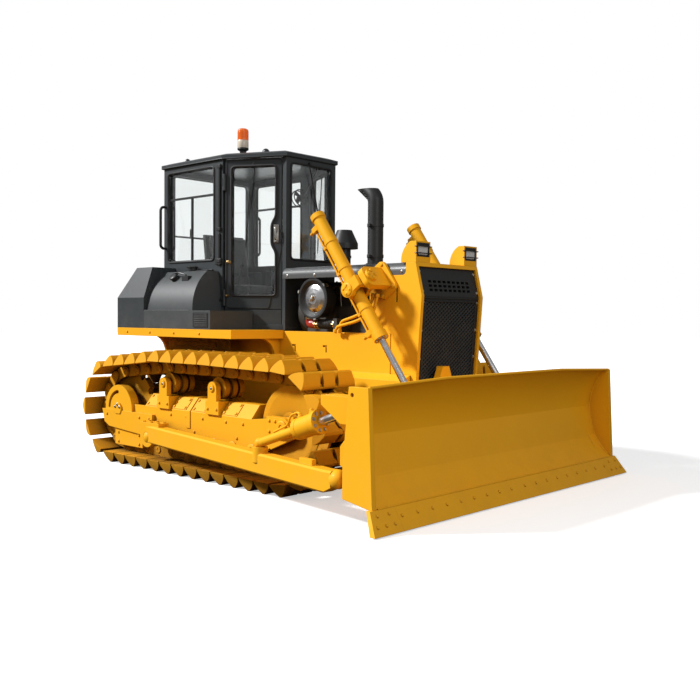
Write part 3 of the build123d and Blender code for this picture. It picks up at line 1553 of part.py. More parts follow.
def lift_bracket():
    """Arm on the radiator shell's side with the swivel bearing of a lift cylinder, its cap and its foot."""
    seat = lift_frame(yoke_bridge_near + yoke_bridge + bracket_gap)
    inner = shell_half_width - lift_y
    outer = yoke_cheek_radius
    outline = Location(((inner + outer) / 2, 0)) * Rectangle(outer - inner, 2 * bracket_half_height)
    outline = fillet(outline.vertices().sort_by(Axis.X)[-2:], bracket_corner)
    arm = extrude(seat * outline, bracket_plate)
    cap = extrude(seat * Circle(bracket_cap_radius), bracket_plate + bracket_cap_rise)
    foot_plane = Plane((seat.origin.X, shell_half_width, seat.origin.Z), x_dir=seat.z_dir, z_dir=(0, 1, 0))
    foot_outline = RectangleRounded(bracket_foot_length, bracket_foot_height, bracket_foot_corner)
    foot = extrude(foot_plane * foot_outline, bracket_foot, dir=(0, 1, 0))
    hole = extrude(seat * Circle(yoke_pin_radius + running_gap), bracket_plate + bracket_cap_hollow)
    return arm.fuse(cap, foot) - hole


def tilt_point(distance):
    return along(brace_ball, brace_eye, distance)


def brace_end():
    """Eye at the blade's end of the brace or of the tilt rod."""
    x, y, z = brace_eye
    return cross_bar(x, z, eye_radius, y - brace_eye_width / 2, y + brace_eye_width / 2)


def tilt_barrel():
    """Barrel with a gland ring and a slim tail that ends in a ball."""
    tail = bar(brace_ball, tilt_point(tilt_tail_reach), tilt_tail_radius)
    tube = bar(tilt_point(tilt_tail_reach), tilt_point(tilt_gland_reach), tilt_barrel_radius)
    gland = bar(tilt_point(tilt_gland_reach - tilt_gland_length), tilt_point(tilt_gland_reach),
                tilt_barrel_radius + tilt_gland_rise)
    bore_start = tilt_point(tilt_tail_reach + tilt_base)
    bore = bar(bore_start, tilt_point(tilt_gland_reach), tilt_rod_radius + running_gap)
    return other_side(tail.fuse(tube, gland, ball(brace_ball, brace_ball_radius)) - bore)


def tilt_rod():
    rod = bar(tilt_point(tilt_tail_reach + tilt_piston_inset), brace_eye, tilt_rod_radius)
    return other_side(rod + brace_end())


def pitch_brace():
    """Screw brace with a thicker sleeve, on the side without a tilt cylinder."""
    tube = bar(tilt_point(0), brace_eye, brace_tube_radius)
    sleeve_radius = brace_tube_radius + brace_sleeve_rise
    sleeve = bar(tilt_point(brace_sleeve_start), tilt_point(brace_sleeve_end), sleeve_radius)
    return tube.fuse(sleeve, brace_end(), ball(brace_ball, brace_ball_radius))


left_track = Location((0, track_y, 0)) * track()
left_arm = push_arm()
left_yoke = lift_yoke()
left_barrel = lift_barrel()
left_rod = lift_rod()
left_door = door("leaf")
left_door_glass = door("glass")
track_roller = roller(roller_radius, roller_groove, roller_radius - roller_groove, carrier_flange_half)
carrier = roller(carrier_radius, carrier_groove, carrier_radius + carrier_flange_rise, carrier_flange_half)
carriers = [Location((x, track_y, carrier_z)) * carrier for x in carrier_x]
rollers = [Location((x, track_y, roller_z)) * track_roller for x in roller_places]

nodes = {
    "main_frame": [hull()],
    "engine": [engine()],
    "air_cleaner": [air_cleaner()],
    "filter_bowl": [filter_bowl()],
    "intake_hose": [intake_hose()],
    "radiator_shell": [radiator_shell()],
    "grille": [grille()],
    "radiator_core": [radiator_core()],
    "hood": [hood()],
    "headlamps": both_sides(headlamp()),
    "lamp_units": both_sides(lamp_unit()),
    "exhaust_stack": [exhaust_stack()],
    "precleaner": [precleaner()],
    "cab_floor": [cab_floor()],
    "cab_rear": [cab_rear()],
    "cab_sides": both_sides(cab_side()),
    "cab_front": [cab_front()],
    "cab_roof": [cab_roof()],
    "cab_glass": cab_glass(),
    "seat": [seat()],
    "seat_pads": seat_pads(),
    "console": console(),
    "beacon": [beacon()],
    "fuel_tank": [fuel_tank()],
    "fender_boxes": both_sides(side_box()),
    "hydraulic_tank": [shoulder_tank(-1)],
    "battery_box": [shoulder_tank(1)],
    "fenders": both_sides(fender()),
    "track_frames": both_sides(track_frame()),
    "track_left": [left_track],
    "track_right": [other_side(left_track)],
    "sprockets": both_sides(Location((sprocket_x, track_y, sprocket_z)) * sprocket()),
    "idlers": both_sides(Location((idler_x, track_y, idler_z)) * idler_wheel()),
    "carrier_rollers": carriers + [other_side(item) for item in carriers],
    "track_rollers": rollers + [other_side(item) for item in rollers],
    "final_drives": both_sides(Location((sprocket_x, 0, sprocket_z)) * final_drive()),
    "equalizer_bar": [equalizer()],
    "drawbar": [drawbar()],
    "grab_handles": both_sides(grab_handle()),
    "trunnion_pins": both_sides(trunnion_pin_piece()),
    "push_arm_left": [left_arm],
    "push_arm_right": [other_side(left_arm)],
    "pitch_brace": [pitch_brace()],
    "tilt_barrel": [tilt_barrel()],
    "tilt_rod": [tilt_rod()],
    "moldboard": [moldboard()],
    "blade_lugs": blade_lugs(),
    "cutting_edge": cutting_edge(),
    "end_bits": both_sides(end_bit()),
    "lift_brackets": both_sides(lift_bracket()),
    "lift_yoke_left": [left_yoke],
    "lift_yoke_right": [other_side(left_yoke)],
    "lift_barrel_left": [left_barrel],
    "lift_barrel_right": [other_side(left_barrel)],
    "lift_rod_left": [left_rod],
    "lift_rod_right": [other_side(left_rod)],
    "door_left": [left_door],
    "door_right": [other_side(left_door)],
    "door_glass_left": [left_door_glass],
    "door_glass_right": [other_side(left_door_glass)],
}

os.makedirs("parts", exist_ok=True)
for name, shapes in nodes.items():
    solids = [solid for shape in shapes for solid in shape.solids()]
    export_step(Compound(solids), os.path.join("parts", name + ".step"))
print("loop of", shoe_count, "shoes, idler at", round(idler_x, 1), "door hinge at", hinge_x, hinge_y)
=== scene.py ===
import json
import math

import bmesh
import bpy
from mathutils import Matrix, Vector


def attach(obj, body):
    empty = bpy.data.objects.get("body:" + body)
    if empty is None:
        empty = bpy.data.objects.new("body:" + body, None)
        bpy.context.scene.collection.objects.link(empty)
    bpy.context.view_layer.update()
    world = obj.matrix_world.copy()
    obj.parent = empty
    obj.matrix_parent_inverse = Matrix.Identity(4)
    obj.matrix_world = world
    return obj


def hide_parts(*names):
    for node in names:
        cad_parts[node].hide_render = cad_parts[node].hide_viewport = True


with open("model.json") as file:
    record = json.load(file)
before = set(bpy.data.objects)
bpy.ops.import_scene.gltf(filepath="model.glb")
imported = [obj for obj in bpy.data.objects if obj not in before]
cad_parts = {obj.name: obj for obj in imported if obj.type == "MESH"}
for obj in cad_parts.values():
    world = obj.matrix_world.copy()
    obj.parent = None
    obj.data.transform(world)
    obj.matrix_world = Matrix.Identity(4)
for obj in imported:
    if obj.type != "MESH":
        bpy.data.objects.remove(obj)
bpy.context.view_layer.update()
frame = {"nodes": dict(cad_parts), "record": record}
nodes = frame["nodes"]
print("frame loaded:", len(nodes), "nodes")


def addNode(tree, kind, **settings):
    node = tree.nodes.new(kind)
    for key, value in settings.items():
        setattr(node, key, value)
    return node


def setInputs(node, **values):
    for key, value in values.items():
        node.inputs[key.replace("_", " ")].default_value = value
    return node


def newGroup(name, inputs, outputs):
    tree = bpy.data.node_groups.new(name, "ShaderNodeTree")
    for label, kind, value in inputs:
        socket = tree.interface.new_socket(label, in_out="INPUT", socket_type=kind)
        socket.default_value = value
    for label, kind in outputs:
        tree.interface.new_socket(label, in_out="OUTPUT", socket_type=kind)
    return tree, addNode(tree, "NodeGroupInput"), addNode(tree, "NodeGroupOutput")


def fill(tree, socket, value):  # a link where the value is a socket, else a plain number or colour
    if hasattr(value, "is_output"):
        tree.links.new(value, socket)
    else:
        socket.default_value = value


def mixColour(tree, factor, first, second, blend="MIX"):
    node = addNode(tree, "ShaderNodeMix", data_type="RGBA", blend_type=blend)
    for socket, value in ((node.inputs[0], factor), (node.inputs[6], first), (node.inputs[7], second)):
        fill(tree, socket, value)
    return node.outputs[2]


def maths(tree, operation, first, second=0.0):
    node = addNode(tree, "ShaderNodeMath", operation=operation)
    for socket, value in zip(node.inputs, (first, second)):
        fill(tree, socket, value)
    return node.outputs[0]


def ramp(tree, source, low, high, reach=(0.0, 1.0)):
    node = addNode(tree, "ShaderNodeMapRange", interpolation_type="SMOOTHSTEP")
    tree.links.new(source, node.inputs["Value"])
    setInputs(node, From_Min=low, From_Max=high, To_Min=reach[0], To_Max=reach[1])
    return node.outputs["Result"]


def noise(tree, vector, scale, detail=3.0, roughness=0.55):
    node = addNode(tree, "ShaderNodeTexNoise")
    tree.links.new(vector, node.inputs["Vector"])
    setInputs(node, Scale=scale, Detail=detail, Roughness=roughness)
    return node.outputs["Fac"]


def makeEdgeGroup():  # rounded normals and a broken line of wear along the edges
    tree, start, end = newGroup("wornEdges", [("Radius", "NodeSocketFloat", 0.006),
                                              ("Breakup", "NodeSocketFloat", 14.0)],
                                [("Edge", "NodeSocketFloat"), ("Normal", "NodeSocketVector")])
    bevel = addNode(tree, "ShaderNodeBevel", samples=4)
    tree.links.new(start.outputs["Radius"], bevel.inputs["Radius"])
    geometry = addNode(tree, "ShaderNodeNewGeometry")
    dot = addNode(tree, "ShaderNodeVectorMath", operation="DOT_PRODUCT")
    tree.links.new(bevel.outputs[0], dot.inputs[0])
    tree.links.new(geometry.outputs["Normal"], dot.inputs[1])
    place = addNode(tree, "ShaderNodeTexCoord")
    scaled = addNode(tree, "ShaderNodeVectorMath", operation="SCALE")
    tree.links.new(place.outputs["Object"], scaled.inputs[0])
    tree.links.new(start.outputs["Breakup"], scaled.inputs["Scale"])
    chips = ramp(tree, noise(tree, scaled.outputs[0], 1.0, 6.0, 0.7), 0.46, 0.66)
    bend = ramp(tree, maths(tree, "SUBTRACT", 1.0, dot.outputs["Value"]), 0.02, 0.2)
    tree.links.new(maths(tree, "MULTIPLY", bend, chips), end.inputs["Edge"])
    tree.links.new(bevel.outputs[0], end.inputs["Normal"])
    return tree


def makeDustGroup():  # dust that thins out with height and gathers on level tops
    tree, start, end = newGroup("settledDust", [("Low", "NodeSocketFloat", 0.1), ("High", "NodeSocketFloat", 0.9),
                                                ("Shelf", "NodeSocketFloat", 0.4)],
                                [("Dust", "NodeSocketFloat"), ("Mottle", "NodeSocketFloat")])
    place = addNode(tree, "ShaderNodeTexCoord")
    split = addNode(tree, "ShaderNodeSeparateXYZ")
    tree.links.new(place.outputs["Object"], split.inputs[0])
    height = addNode(tree, "ShaderNodeMapRange", interpolation_type="SMOOTHSTEP")
    tree.links.new(split.outputs["Z"], height.inputs["Value"])
    tree.links.new(start.outputs["Low"], height.inputs["From Min"])
    tree.links.new(start.outputs["High"], height.inputs["From Max"])
    setInputs(height, To_Min=1.0, To_Max=0.0)
    geometry = addNode(tree, "ShaderNodeNewGeometry")
    facing = addNode(tree, "ShaderNodeSeparateXYZ")
    tree.links.new(geometry.outputs["Normal"], facing.inputs[0])
    shelf = maths(tree, "MULTIPLY", ramp(tree, facing.outputs["Z"], 0.55, 0.95), start.outputs["Shelf"])
    cloud = ramp(tree, noise(tree, place.outputs["Object"], 5.0, 5.0, 0.62), 0.36, 0.7)
    speck = ramp(tree, noise(tree, place.outputs["Object"], 60.0, 4.0, 0.7), 0.4, 0.72)
    amount = maths(tree, "ADD", height.outputs["Result"], shelf)
    patches = maths(tree, "MULTIPLY", maths(tree, "ADD", cloud, maths(tree, "MULTIPLY", speck, 0.5)), amount)
    tree.links.new(patches, end.inputs["Dust"])
    tree.links.new(noise(tree, place.outputs["Object"], 1.7, 4.0), end.inputs["Mottle"])
    return tree


def makePeelGroup():  # sprayed paint: fine dimples over slow waves, and faint streaks
    tree, start, end = newGroup("orangePeel", [("Scale", "NodeSocketFloat", 260.0)],
                                [("Height", "NodeSocketFloat"), ("Streak", "NodeSocketFloat")])
    place = addNode(tree, "ShaderNodeTexCoord")
    fine = addNode(tree, "ShaderNodeTexNoise")
    tree.links.new(place.outputs["Object"], fine.inputs["Vector"])
    tree.links.new(start.outputs["Scale"], fine.inputs["Scale"])
    wide = noise(tree, place.outputs["Object"], 9.0, 2.0)
    tree.links.new(maths(tree, "ADD", fine.outputs["Fac"], maths(tree, "MULTIPLY", wide, 2.0)), end.inputs["Height"])
    tree.links.new(ramp(tree, noise(tree, place.outputs["Object"], 24.0, 6.0, 0.7), 0.3, 0.75), end.inputs["Streak"])
    return tree


def makeGrainGroup():  # pebbled cells of vinyl, rubber and cast iron
    tree, start, end = newGroup("pebbleGrain", [("Scale", "NodeSocketFloat", 400.0)],
                                [("Height", "NodeSocketFloat"), ("Cloud", "NodeSocketFloat")])
    place = addNode(tree, "ShaderNodeTexCoord")
    cells = addNode(tree, "ShaderNodeTexVoronoi", feature="F1")
    tree.links.new(place.outputs["Object"], cells.inputs["Vector"])
    tree.links.new(start.outputs["Scale"], cells.inputs["Scale"])
    tree.links.new(ramp(tree, cells.outputs["Distance"], 0.1, 0.75, (1.0, 0.0)), end.inputs["Height"])
    tree.links.new(noise(tree, place.outputs["Object"], 7.0, 5.0, 0.65), end.inputs["Cloud"])
    return tree


def makePaintedShadeGroup():  # painted shade: ambient occlusion darkens corners and hollows, thinned by a cloud
    tree, start, end = newGroup("cornerPaintedShade", [("Distance", "NodeSocketFloat", 0.2),
                                                ("Amount", "NodeSocketFloat", 0.8)],
                                [("PaintedShade", "NodeSocketFloat")])
    hollow = addNode(tree, "ShaderNodeAmbientOcclusion", samples=6)
    tree.links.new(start.outputs["Distance"], hollow.inputs["Distance"])
    place = addNode(tree, "ShaderNodeTexCoord")
    cloud = ramp(tree, noise(tree, place.outputs["Object"], 11.0, 5.0, 0.65), 0.2, 0.6, (0.7, 1.0))
    depth = ramp(tree, hollow.outputs["AO"], 0.12, 0.62, (1.0, 0.0))
    tree.links.new(maths(tree, "MULTIPLY", maths(tree, "MULTIPLY", depth, cloud), start.outputs["Amount"]),
                   end.inputs["PaintedShade"])
    return tree


edgeGroup = makeEdgeGroup()
paintedShadeGroup = makePaintedShadeGroup()
dustGroup = makeDustGroup()
peelGroup = makePeelGroup()
grainGroup = makeGrainGroup()


def placeGroup(tree, group, **values):
    node = addNode(tree, "ShaderNodeGroup", node_tree=group)
    return setInputs(node, **values)


def startMaterial(name, **settings):
    material = bpy.data.materials.new(name)
    material.use_nodes = True
    shader = material.node_tree.nodes["Principled BSDF"]
    setInputs(shader, **settings)
    return material, material.node_tree, shader


def addRelief(tree, shader, height, strength, depth):
    bump = addNode(tree, "ShaderNodeBump")
    setInputs(bump, Strength=strength, Distance=depth)
    tree.links.new(height, bump.inputs["Height"])
    tree.links.new(bump.outputs[0], shader.inputs["Normal"])
    return bump


sprayLook = {"coatRoughness": 0.12, "streak": 0.1, "dustRoughness": 0.25, "depth": 0.001}


def paintedSteel(name, look):
    material, tree, shader = startMaterial(name, Coat_Weight=look["coat"], Specular_IOR_Level=look["specular"],
                                           Coat_Roughness=sprayLook["coatRoughness"])
    edge = placeGroup(tree, edgeGroup, Radius=look["edgeRadius"], Breakup=look["chipScale"])
    dust = placeGroup(tree, dustGroup, Low=look["dustLow"], High=look["dustHigh"], Shelf=look["shelf"])
    peel = placeGroup(tree, peelGroup, Scale=look["peelScale"])
    tone = mixColour(tree, dust.outputs["Mottle"], look["deep"], look["fresh"])
    chipped = mixColour(tree, maths(tree, "MULTIPLY", edge.outputs["Edge"], look["wear"]), tone, look["chip"])
    dusty = mixColour(tree, maths(tree, "MULTIPLY", dust.outputs["Dust"], look["dust"]), chipped, look["earth"])
    # painted shade: hollows found by ambient occlusion are mixed toward a dark brown
    paintedShade = placeGroup(tree, paintedShadeGroup, Distance=look["paintedShadeReach"], Amount=look["paintedShade"])
    tree.links.new(mixColour(tree, paintedShade.outputs["PaintedShade"], dusty, look["hollowShadeColour"]), shader.inputs["Base Color"])
    gloss = maths(tree, "ADD", look["roughness"], maths(tree, "MULTIPLY", peel.outputs["Streak"], sprayLook["streak"]))
    dulled = maths(tree, "MULTIPLY", dust.outputs["Dust"], sprayLook["dustRoughness"])
    tree.links.new(maths(tree, "ADD", gloss, dulled), shader.inputs["Roughness"])
    bump = addRelief(tree, shader, peel.outputs["Height"], look["peel"], sprayLook["depth"])
    tree.links.new(edge.outputs["Normal"], bump.inputs["Normal"])
    return material


# each paint look below ends with its painted shade in hollows: strength, reach and dark brown colour
yellowLook = {
    "fresh": (0.92, 0.45, 0.01, 1), "deep": (0.88, 0.405, 0.008, 1), "chip": (0.95, 0.58, 0.1, 1),
    "earth": (0.5, 0.27, 0.06, 1), "roughness": 0.45, "coat": 0.03, "edgeRadius": 0.006, "chipScale": 14.0,
    "wear": 0.4, "dust": 0.14, "dustLow": 0.05, "dustHigh": 0.75, "shelf": 0.2, "peel": 0.1, "peelScale": 260.0,
    "specular": 0.2, "paintedShade": 0.75, "paintedShadeReach": 0.3, "hollowShadeColour": (0.1, 0.03, 0.006, 1),
}
# painted shade: a darker copy of the yellow paint for the tracks, rollers and splash guards, with stronger, wider
# painted shade in hollows; its heavier dust is real dust
shadedChainLook = dict(yellowLook, fresh=(0.76, 0.365, 0.011, 1), deep=(0.7, 0.31, 0.009, 1), dust=0.22, paintedShade=0.97,
                 paintedShadeReach=0.6, hollowShadeColour=(0.055, 0.018, 0.005, 1), roughness=0.66, specular=0.12, coat=0.0)
greyLook = {
    "fresh": (0.034, 0.041, 0.045, 1), "deep": (0.028, 0.034, 0.038, 1), "chip": (0.13, 0.14, 0.145, 1),
    "earth": (0.17, 0.15, 0.12, 1), "roughness": 0.4, "coat": 0.15, "edgeRadius": 0.006, "chipScale": 20.0,
    "wear": 0.3, "dust": 0.1, "dustLow": 1.2, "dustHigh": 1.7, "shelf": 0.3, "peel": 0.1, "peelScale": 300.0,
    "specular": 0.4, "paintedShade": 0.5, "paintedShadeReach": 0.08, "hollowShadeColour": (0.016, 0.014, 0.012, 1),
}
# painted light: a lighter copy of the grey paint for the side boxes, hydraulic tank and battery box, standing in for
# the light on their sides
litBoxLook = dict(greyLook, fresh=(0.056, 0.062, 0.065, 1), deep=(0.047, 0.053, 0.056, 1))
# painted light: a lighter copy of the grey paint for the hood and its ribs, standing in for the light and sky
# reflection on its top
litHoodPaintLook = dict(greyLook, fresh=(0.085, 0.09, 0.092, 1), deep=(0.072, 0.077, 0.08, 1))
blackLook = {
    "fresh": (0.017, 0.018, 0.018, 1), "deep": (0.011, 0.012, 0.012, 1), "chip": (0.1, 0.1, 0.1, 1),
    "earth": (0.15, 0.12, 0.09, 1), "roughness": 0.46, "coat": 0.05, "edgeRadius": 0.004, "chipScale": 24.0,
    "wear": 0.3, "dust": 0.12, "dustLow": 1.0, "dustHigh": 1.6, "shelf": 0.3, "peel": 0.15, "peelScale": 320.0,
    "specular": 0.4, "paintedShade": 0.5, "paintedShadeReach": 0.06, "hollowShadeColour": (0.012, 0.01, 0.008, 1),
}
yellowPaint = paintedSteel("yellowPaint", yellowLook)
greyPaint = paintedSteel("greyPaint", greyLook)
blackPaint = paintedSteel("blackPaint", blackLook)
shadedChainPaint = paintedSteel("shadedChainPaint", shadedChainLook)
litBoxPaint = paintedSteel("litBoxPaint", litBoxLook)
litHoodPaint = paintedSteel("litHoodPaint", litHoodPaintLook)


def grainedSkin(name, look, **settings):  # vinyl, rubber and castings
    material, tree, shader = startMaterial(name, **settings)
    grain = placeGroup(tree, grainGroup, Scale=look["scale"])
    dust = placeGroup(tree, dustGroup, Low=look["dustLow"], High=look["dustHigh"], Shelf=0.3)
    tone = mixColour(tree, grain.outputs["Cloud"], look["deep"], look["fresh"])
    tree.links.new(mixColour(tree, maths(tree, "MULTIPLY", dust.outputs["Dust"], look["dust"]), tone, look["earth"]),
                   shader.inputs["Base Color"])
    tree.links.new(ramp(tree, grain.outputs["Cloud"], 0.3, 0.7, look["roughness"]), shader.inputs["Roughness"])
    addRelief(tree, shader, grain.outputs["Height"], look["bump"], look["depth"])
    return material


ironLook = {"fresh": (0.05, 0.048, 0.045, 1), "deep": (0.022, 0.021, 0.02, 1), "earth": (0.12, 0.09, 0.06, 1),
            "scale": 260.0, "dustLow": 1.2, "dustHigh": 1.7, "dust": 0.3, "roughness": (0.5, 0.75), "bump": 0.35,
            "depth": 0.0015}
vinylLook = {"fresh": (0.024, 0.024, 0.026, 1), "deep": (0.015, 0.015, 0.016, 1), "earth": (0.08, 0.075, 0.07, 1),
             "scale": 520.0, "dustLow": 1.5, "dustHigh": 1.9, "dust": 0.15, "roughness": (0.42, 0.6), "bump": 0.4,
             "depth": 0.0008}
rubberLook = {"fresh": (0.02, 0.02, 0.021, 1), "deep": (0.009, 0.009, 0.009, 1), "earth": (0.1, 0.09, 0.08, 1),
              "scale": 700.0, "dustLow": 1.0, "dustHigh": 1.6, "dust": 0.15, "roughness": (0.55, 0.8), "bump": 0.25,
              "depth": 0.0006}
redLook = {"fresh": (0.42, 0.028, 0.018, 1), "deep": (0.3, 0.018, 0.012, 1), "earth": (0.2, 0.12, 0.09, 1),
           "scale": 480.0, "dustLow": 1.2, "dustHigh": 1.5, "dust": 0.15, "roughness": (0.3, 0.5), "bump": 0.15,
           "depth": 0.0006}
engineIron = grainedSkin("engineIron", ironLook)
seatVinyl = grainedSkin("seatVinyl", vinylLook, Sheen_Weight=0.15)
sealRubber = grainedSkin("sealRubber", rubberLook)
redRubber = grainedSkin("redRubber", redLook)


def windowGlass(name, tint):
    material, tree, shader = startMaterial(name, Base_Color=tint, Transmission_Weight=1.0, IOR=1.45, Metallic=0.0)
    peel = placeGroup(tree, peelGroup, Scale=30.0)
    tree.links.new(ramp(tree, peel.outputs["Streak"], 0.2, 1.0, (0.005, 0.03)), shader.inputs["Roughness"])
    return material


def bareMetal(name, look):
    material, tree, shader = startMaterial(name, Metallic=1.0)
    peel = placeGroup(tree, peelGroup, Scale=look["scale"])
    tree.links.new(mixColour(tree, peel.outputs["Streak"], look["deep"], look["fresh"]), shader.inputs["Base Color"])
    tree.links.new(ramp(tree, peel.outputs["Streak"], 0.0, 1.0, look["roughness"]), shader.inputs["Roughness"])
    addRelief(tree, shader, peel.outputs["Height"], look["bump"], 0.0006)
    return material


def tintedLens(name, fresh, deep, transmission, glow):
    material, tree, shader = startMaterial(name, Transmission_Weight=transmission, IOR=1.49, Metallic=0.0,
                                           Emission_Strength=glow)
    grain = placeGroup(tree, grainGroup, Scale=90.0)
    tone = mixColour(tree, grain.outputs["Cloud"], deep, fresh)
    tree.links.new(tone, shader.inputs["Base Color"])
    tree.links.new(tone, shader.inputs["Emission Color"])
    tree.links.new(ramp(tree, grain.outputs["Cloud"], 0.3, 0.7, (0.12, 0.22)), shader.inputs["Roughness"])
    return material


cabGlass = windowGlass("cabGlass", (0.955, 0.98, 0.975, 1))
rodChrome = bareMetal("rodChrome", {"fresh": (0.87, 0.87, 0.89, 1), "deep": (0.82, 0.81, 0.83, 1), "scale": 500.0,
                                    "roughness": (0.2, 0.27), "bump": 0.015})
zincSteel = bareMetal("zincSteel", {"fresh": (0.62, 0.61, 0.58, 1), "deep": (0.42, 0.4, 0.37, 1), "scale": 300.0,
                                    "roughness": (0.28, 0.5), "bump": 0.08})
brassSteel = bareMetal("brassSteel", {"fresh": (0.66, 0.45, 0.2, 1), "deep": (0.5, 0.33, 0.13, 1), "scale": 300.0,
                                      "roughness": (0.28, 0.46), "bump": 0.08})
orangeLens = tintedLens("orangeLens", (0.9, 0.21, 0.03, 1), (0.78, 0.15, 0.02, 1), 0.35, 0.12)
paleLens = tintedLens("paleLens", (0.8, 0.72, 0.6, 1), (0.7, 0.6, 0.48, 1), 0.1, 0.05)
lampLens = tintedLens("lampLens", (0.62, 0.62, 0.6, 1), (0.5, 0.5, 0.49, 1), 0.1, 0.04)
redLens = tintedLens("redLens", (0.5, 0.02, 0.015, 1), (0.4, 0.012, 0.01, 1), 0.3, 0.03)

slotLooks = {"yellow_paint": yellowPaint, "grey_paint": greyPaint, "black_paint": blackPaint, "window_glass": cabGlass,
             "rod_chrome": rodChrome, "engine_iron": engineIron, "seat_vinyl": seatVinyl, "beacon_lens": orangeLens}
# painted light: the hood, the boxes and the tanks take the lighter copies of the grey paint
nodeLooks = {"hood": litHoodPaint, "fender_boxes": litBoxPaint, "hydraulic_tank": litBoxPaint, "battery_box": litBoxPaint,
             # painted shade: the undercarriage takes the darker copy of the yellow paint
             "sprockets": shadedChainPaint, "idlers": shadedChainPaint, "carrier_rollers": shadedChainPaint, "track_rollers": shadedChainPaint,
             "final_drives": shadedChainPaint, "equalizer_bar": shadedChainPaint}
for part in frame["record"]["subparts"]:
    mesh = nodes[part["node"]].data
    mesh.materials.clear()
    mesh.materials.append(nodeLooks.get(part["node"], slotLooks[part["material_slot"]]))
print("finishes on", len(nodes), "nodes")


def addLoft(form, rings, capped=True, looped=False):  # skin over rings of points with equal counts
    rows = [[form.verts.new(point) for point in ring] for ring in rings]
    pairs = zip(rows, rows[1:] + rows[:1]) if looped else zip(rows, rows[1:])
    for first, second in pairs:
        for index in range(len(first)):
            after = (index + 1) % len(first)
            form.faces.new((first[index], first[after], second[after], second[index]))
    if capped and not looped:
        form.faces.new(rows[0][::-1])
        form.faces.new(rows[-1])


def spokesRound(side, other, count, shift=0):  # unit vectors evenly round an axis
    angles = [math.tau * (step + shift) / count for step in range(count)]
    return [side * math.cos(angle) + other * math.sin(angle) for angle in angles]


def addTurned(form, profile, origin, axis, sides=24, looped=False):  # profile of radius and reach along the axis
    axis = Vector(axis).normalized()
    side = axis.orthogonal().normalized()
    spokes = spokesRound(side, axis.cross(side), sides)
    addLoft(form, [[Vector(origin) + axis * reach + spoke * radius for spoke in spokes] for radius, reach in profile],
            looped=looped)


def addBand(form, inner, outer, half, place, axis, sides):  # square-edged band, closed at both faces
    addTurned(form, [(inner, -half), (outer, -half), (outer, half), (inner, half)], place, axis, sides)


def addPrism(form, outline, push):
    addLoft(form, [[Vector(point) for point in outline], [Vector(point) + Vector(push) for point in outline]])


def levelPanel(x0, y0, x1, y1, z):  # corners of a level rectangle
    return [(x0, y0, z), (x1, y0, z), (x1, y1, z), (x0, y1, z)]


def addBlock(form, low, high):
    addPrism(form, levelPanel(*low[:2], *high[:2], low[2]), (0, 0, high[2] - low[2]))


def addSideBlock(form, sign, low, high):  # block on the left side, or its twin on the right
    near, far = sorted((sign * low[1], sign * high[1]))
    addBlock(form, (low[0], near, low[2]), (high[0], far, high[2]))


def addTube(form, points, radius, sides=10, looped=False, side=None):
    points = [Vector(point) for point in points]
    count = len(points)
    rings = []
    for index, point in enumerate(points):
        before = points[index - 1] if index or looped else point
        after = points[(index + 1) % count] if index + 1 < count or looped else point
        heading = (after - before).normalized()
        side = heading.orthogonal() if side is None else Vector(side)
        side = (side - heading * side.dot(heading)).normalized()
        size = radius[index] if isinstance(radius, list) else radius
        rings.append([point + spoke * size for spoke in spokesRound(side, heading.cross(side), sides)])
    addLoft(form, rings, looped=looped)


def roundedRun(points, radius, steps=5, looped=False):  # corners of a rigid run turned into arcs
    points = [Vector(point) for point in points]
    count = len(points)
    line = []
    for index, point in enumerate(points):
        if not looped and index in (0, count - 1):
            line.append(point)
            continue
        before = (points[index - 1] - point)
        after = (points[(index + 1) % count] - point)
        reach = min(radius, before.length * 0.49, after.length * 0.49)
        start = point + before.normalized() * reach
        end = point + after.normalized() * reach
        for step in range(steps + 1):
            share = step / steps
            line.append(start * (1 - share) ** 2 + point * 2 * share * (1 - share) + end * share ** 2)
    return line


boltLook = {"height": 0.62, "washer": 1.32, "washerHeight": 0.16}


def addBolt(form, place, normal, size):  # hex head with a washer; size is the head's radius
    place = Vector(place)
    normal = Vector(normal).normalized()
    washer = size * boltLook["washer"]
    rise = size * boltLook["washerHeight"]
    addTurned(form, [(washer, -0.001), (washer, rise * 0.7), (washer * 0.94, rise)], place, normal, 14)
    head = size * boltLook["height"]
    addTurned(form, [(size, rise * 0.8), (size, rise + head * 0.75), (size * 0.8, rise + head)], place, normal, 6)


def finishForm(form, name, body, material, smooth=38.0, bevel=0.0):
    bmesh.ops.remove_doubles(form, verts=form.verts, dist=1e-6)
    bmesh.ops.dissolve_degenerate(form, edges=form.edges, dist=1e-6)
    bmesh.ops.recalc_face_normals(form, faces=form.faces)
    mesh = bpy.data.meshes.new(name)
    form.to_mesh(mesh)
    form.free()
    mesh.shade_smooth()
    mesh.set_sharp_from_angle(angle=math.radians(smooth))
    mesh.materials.append(material)
    piece = bpy.data.objects.new(name, mesh)
    bpy.context.scene.collection.objects.link(piece)
    if bevel:
        edges = piece.modifiers.new("edges", "BEVEL")
        edges.width = bevel
        edges.segments = 2
        edges.limit_method = "ANGLE"
        edges.angle_limit = math.radians(40)
    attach(piece, body)
    return piece


def boltSet(name, places, size, body, material):  # one piece for the bolts of a part
    form = bmesh.new()
    for place, normal in places:
        addBolt(form, place, normal, size)
    return finishForm(form, name, body, material)


def mirrored(places):  # the same places on the machine's other side
    return places + [((x, -y, z), (nx, -ny, nz)) for (x, y, z), (nx, ny, nz) in places]


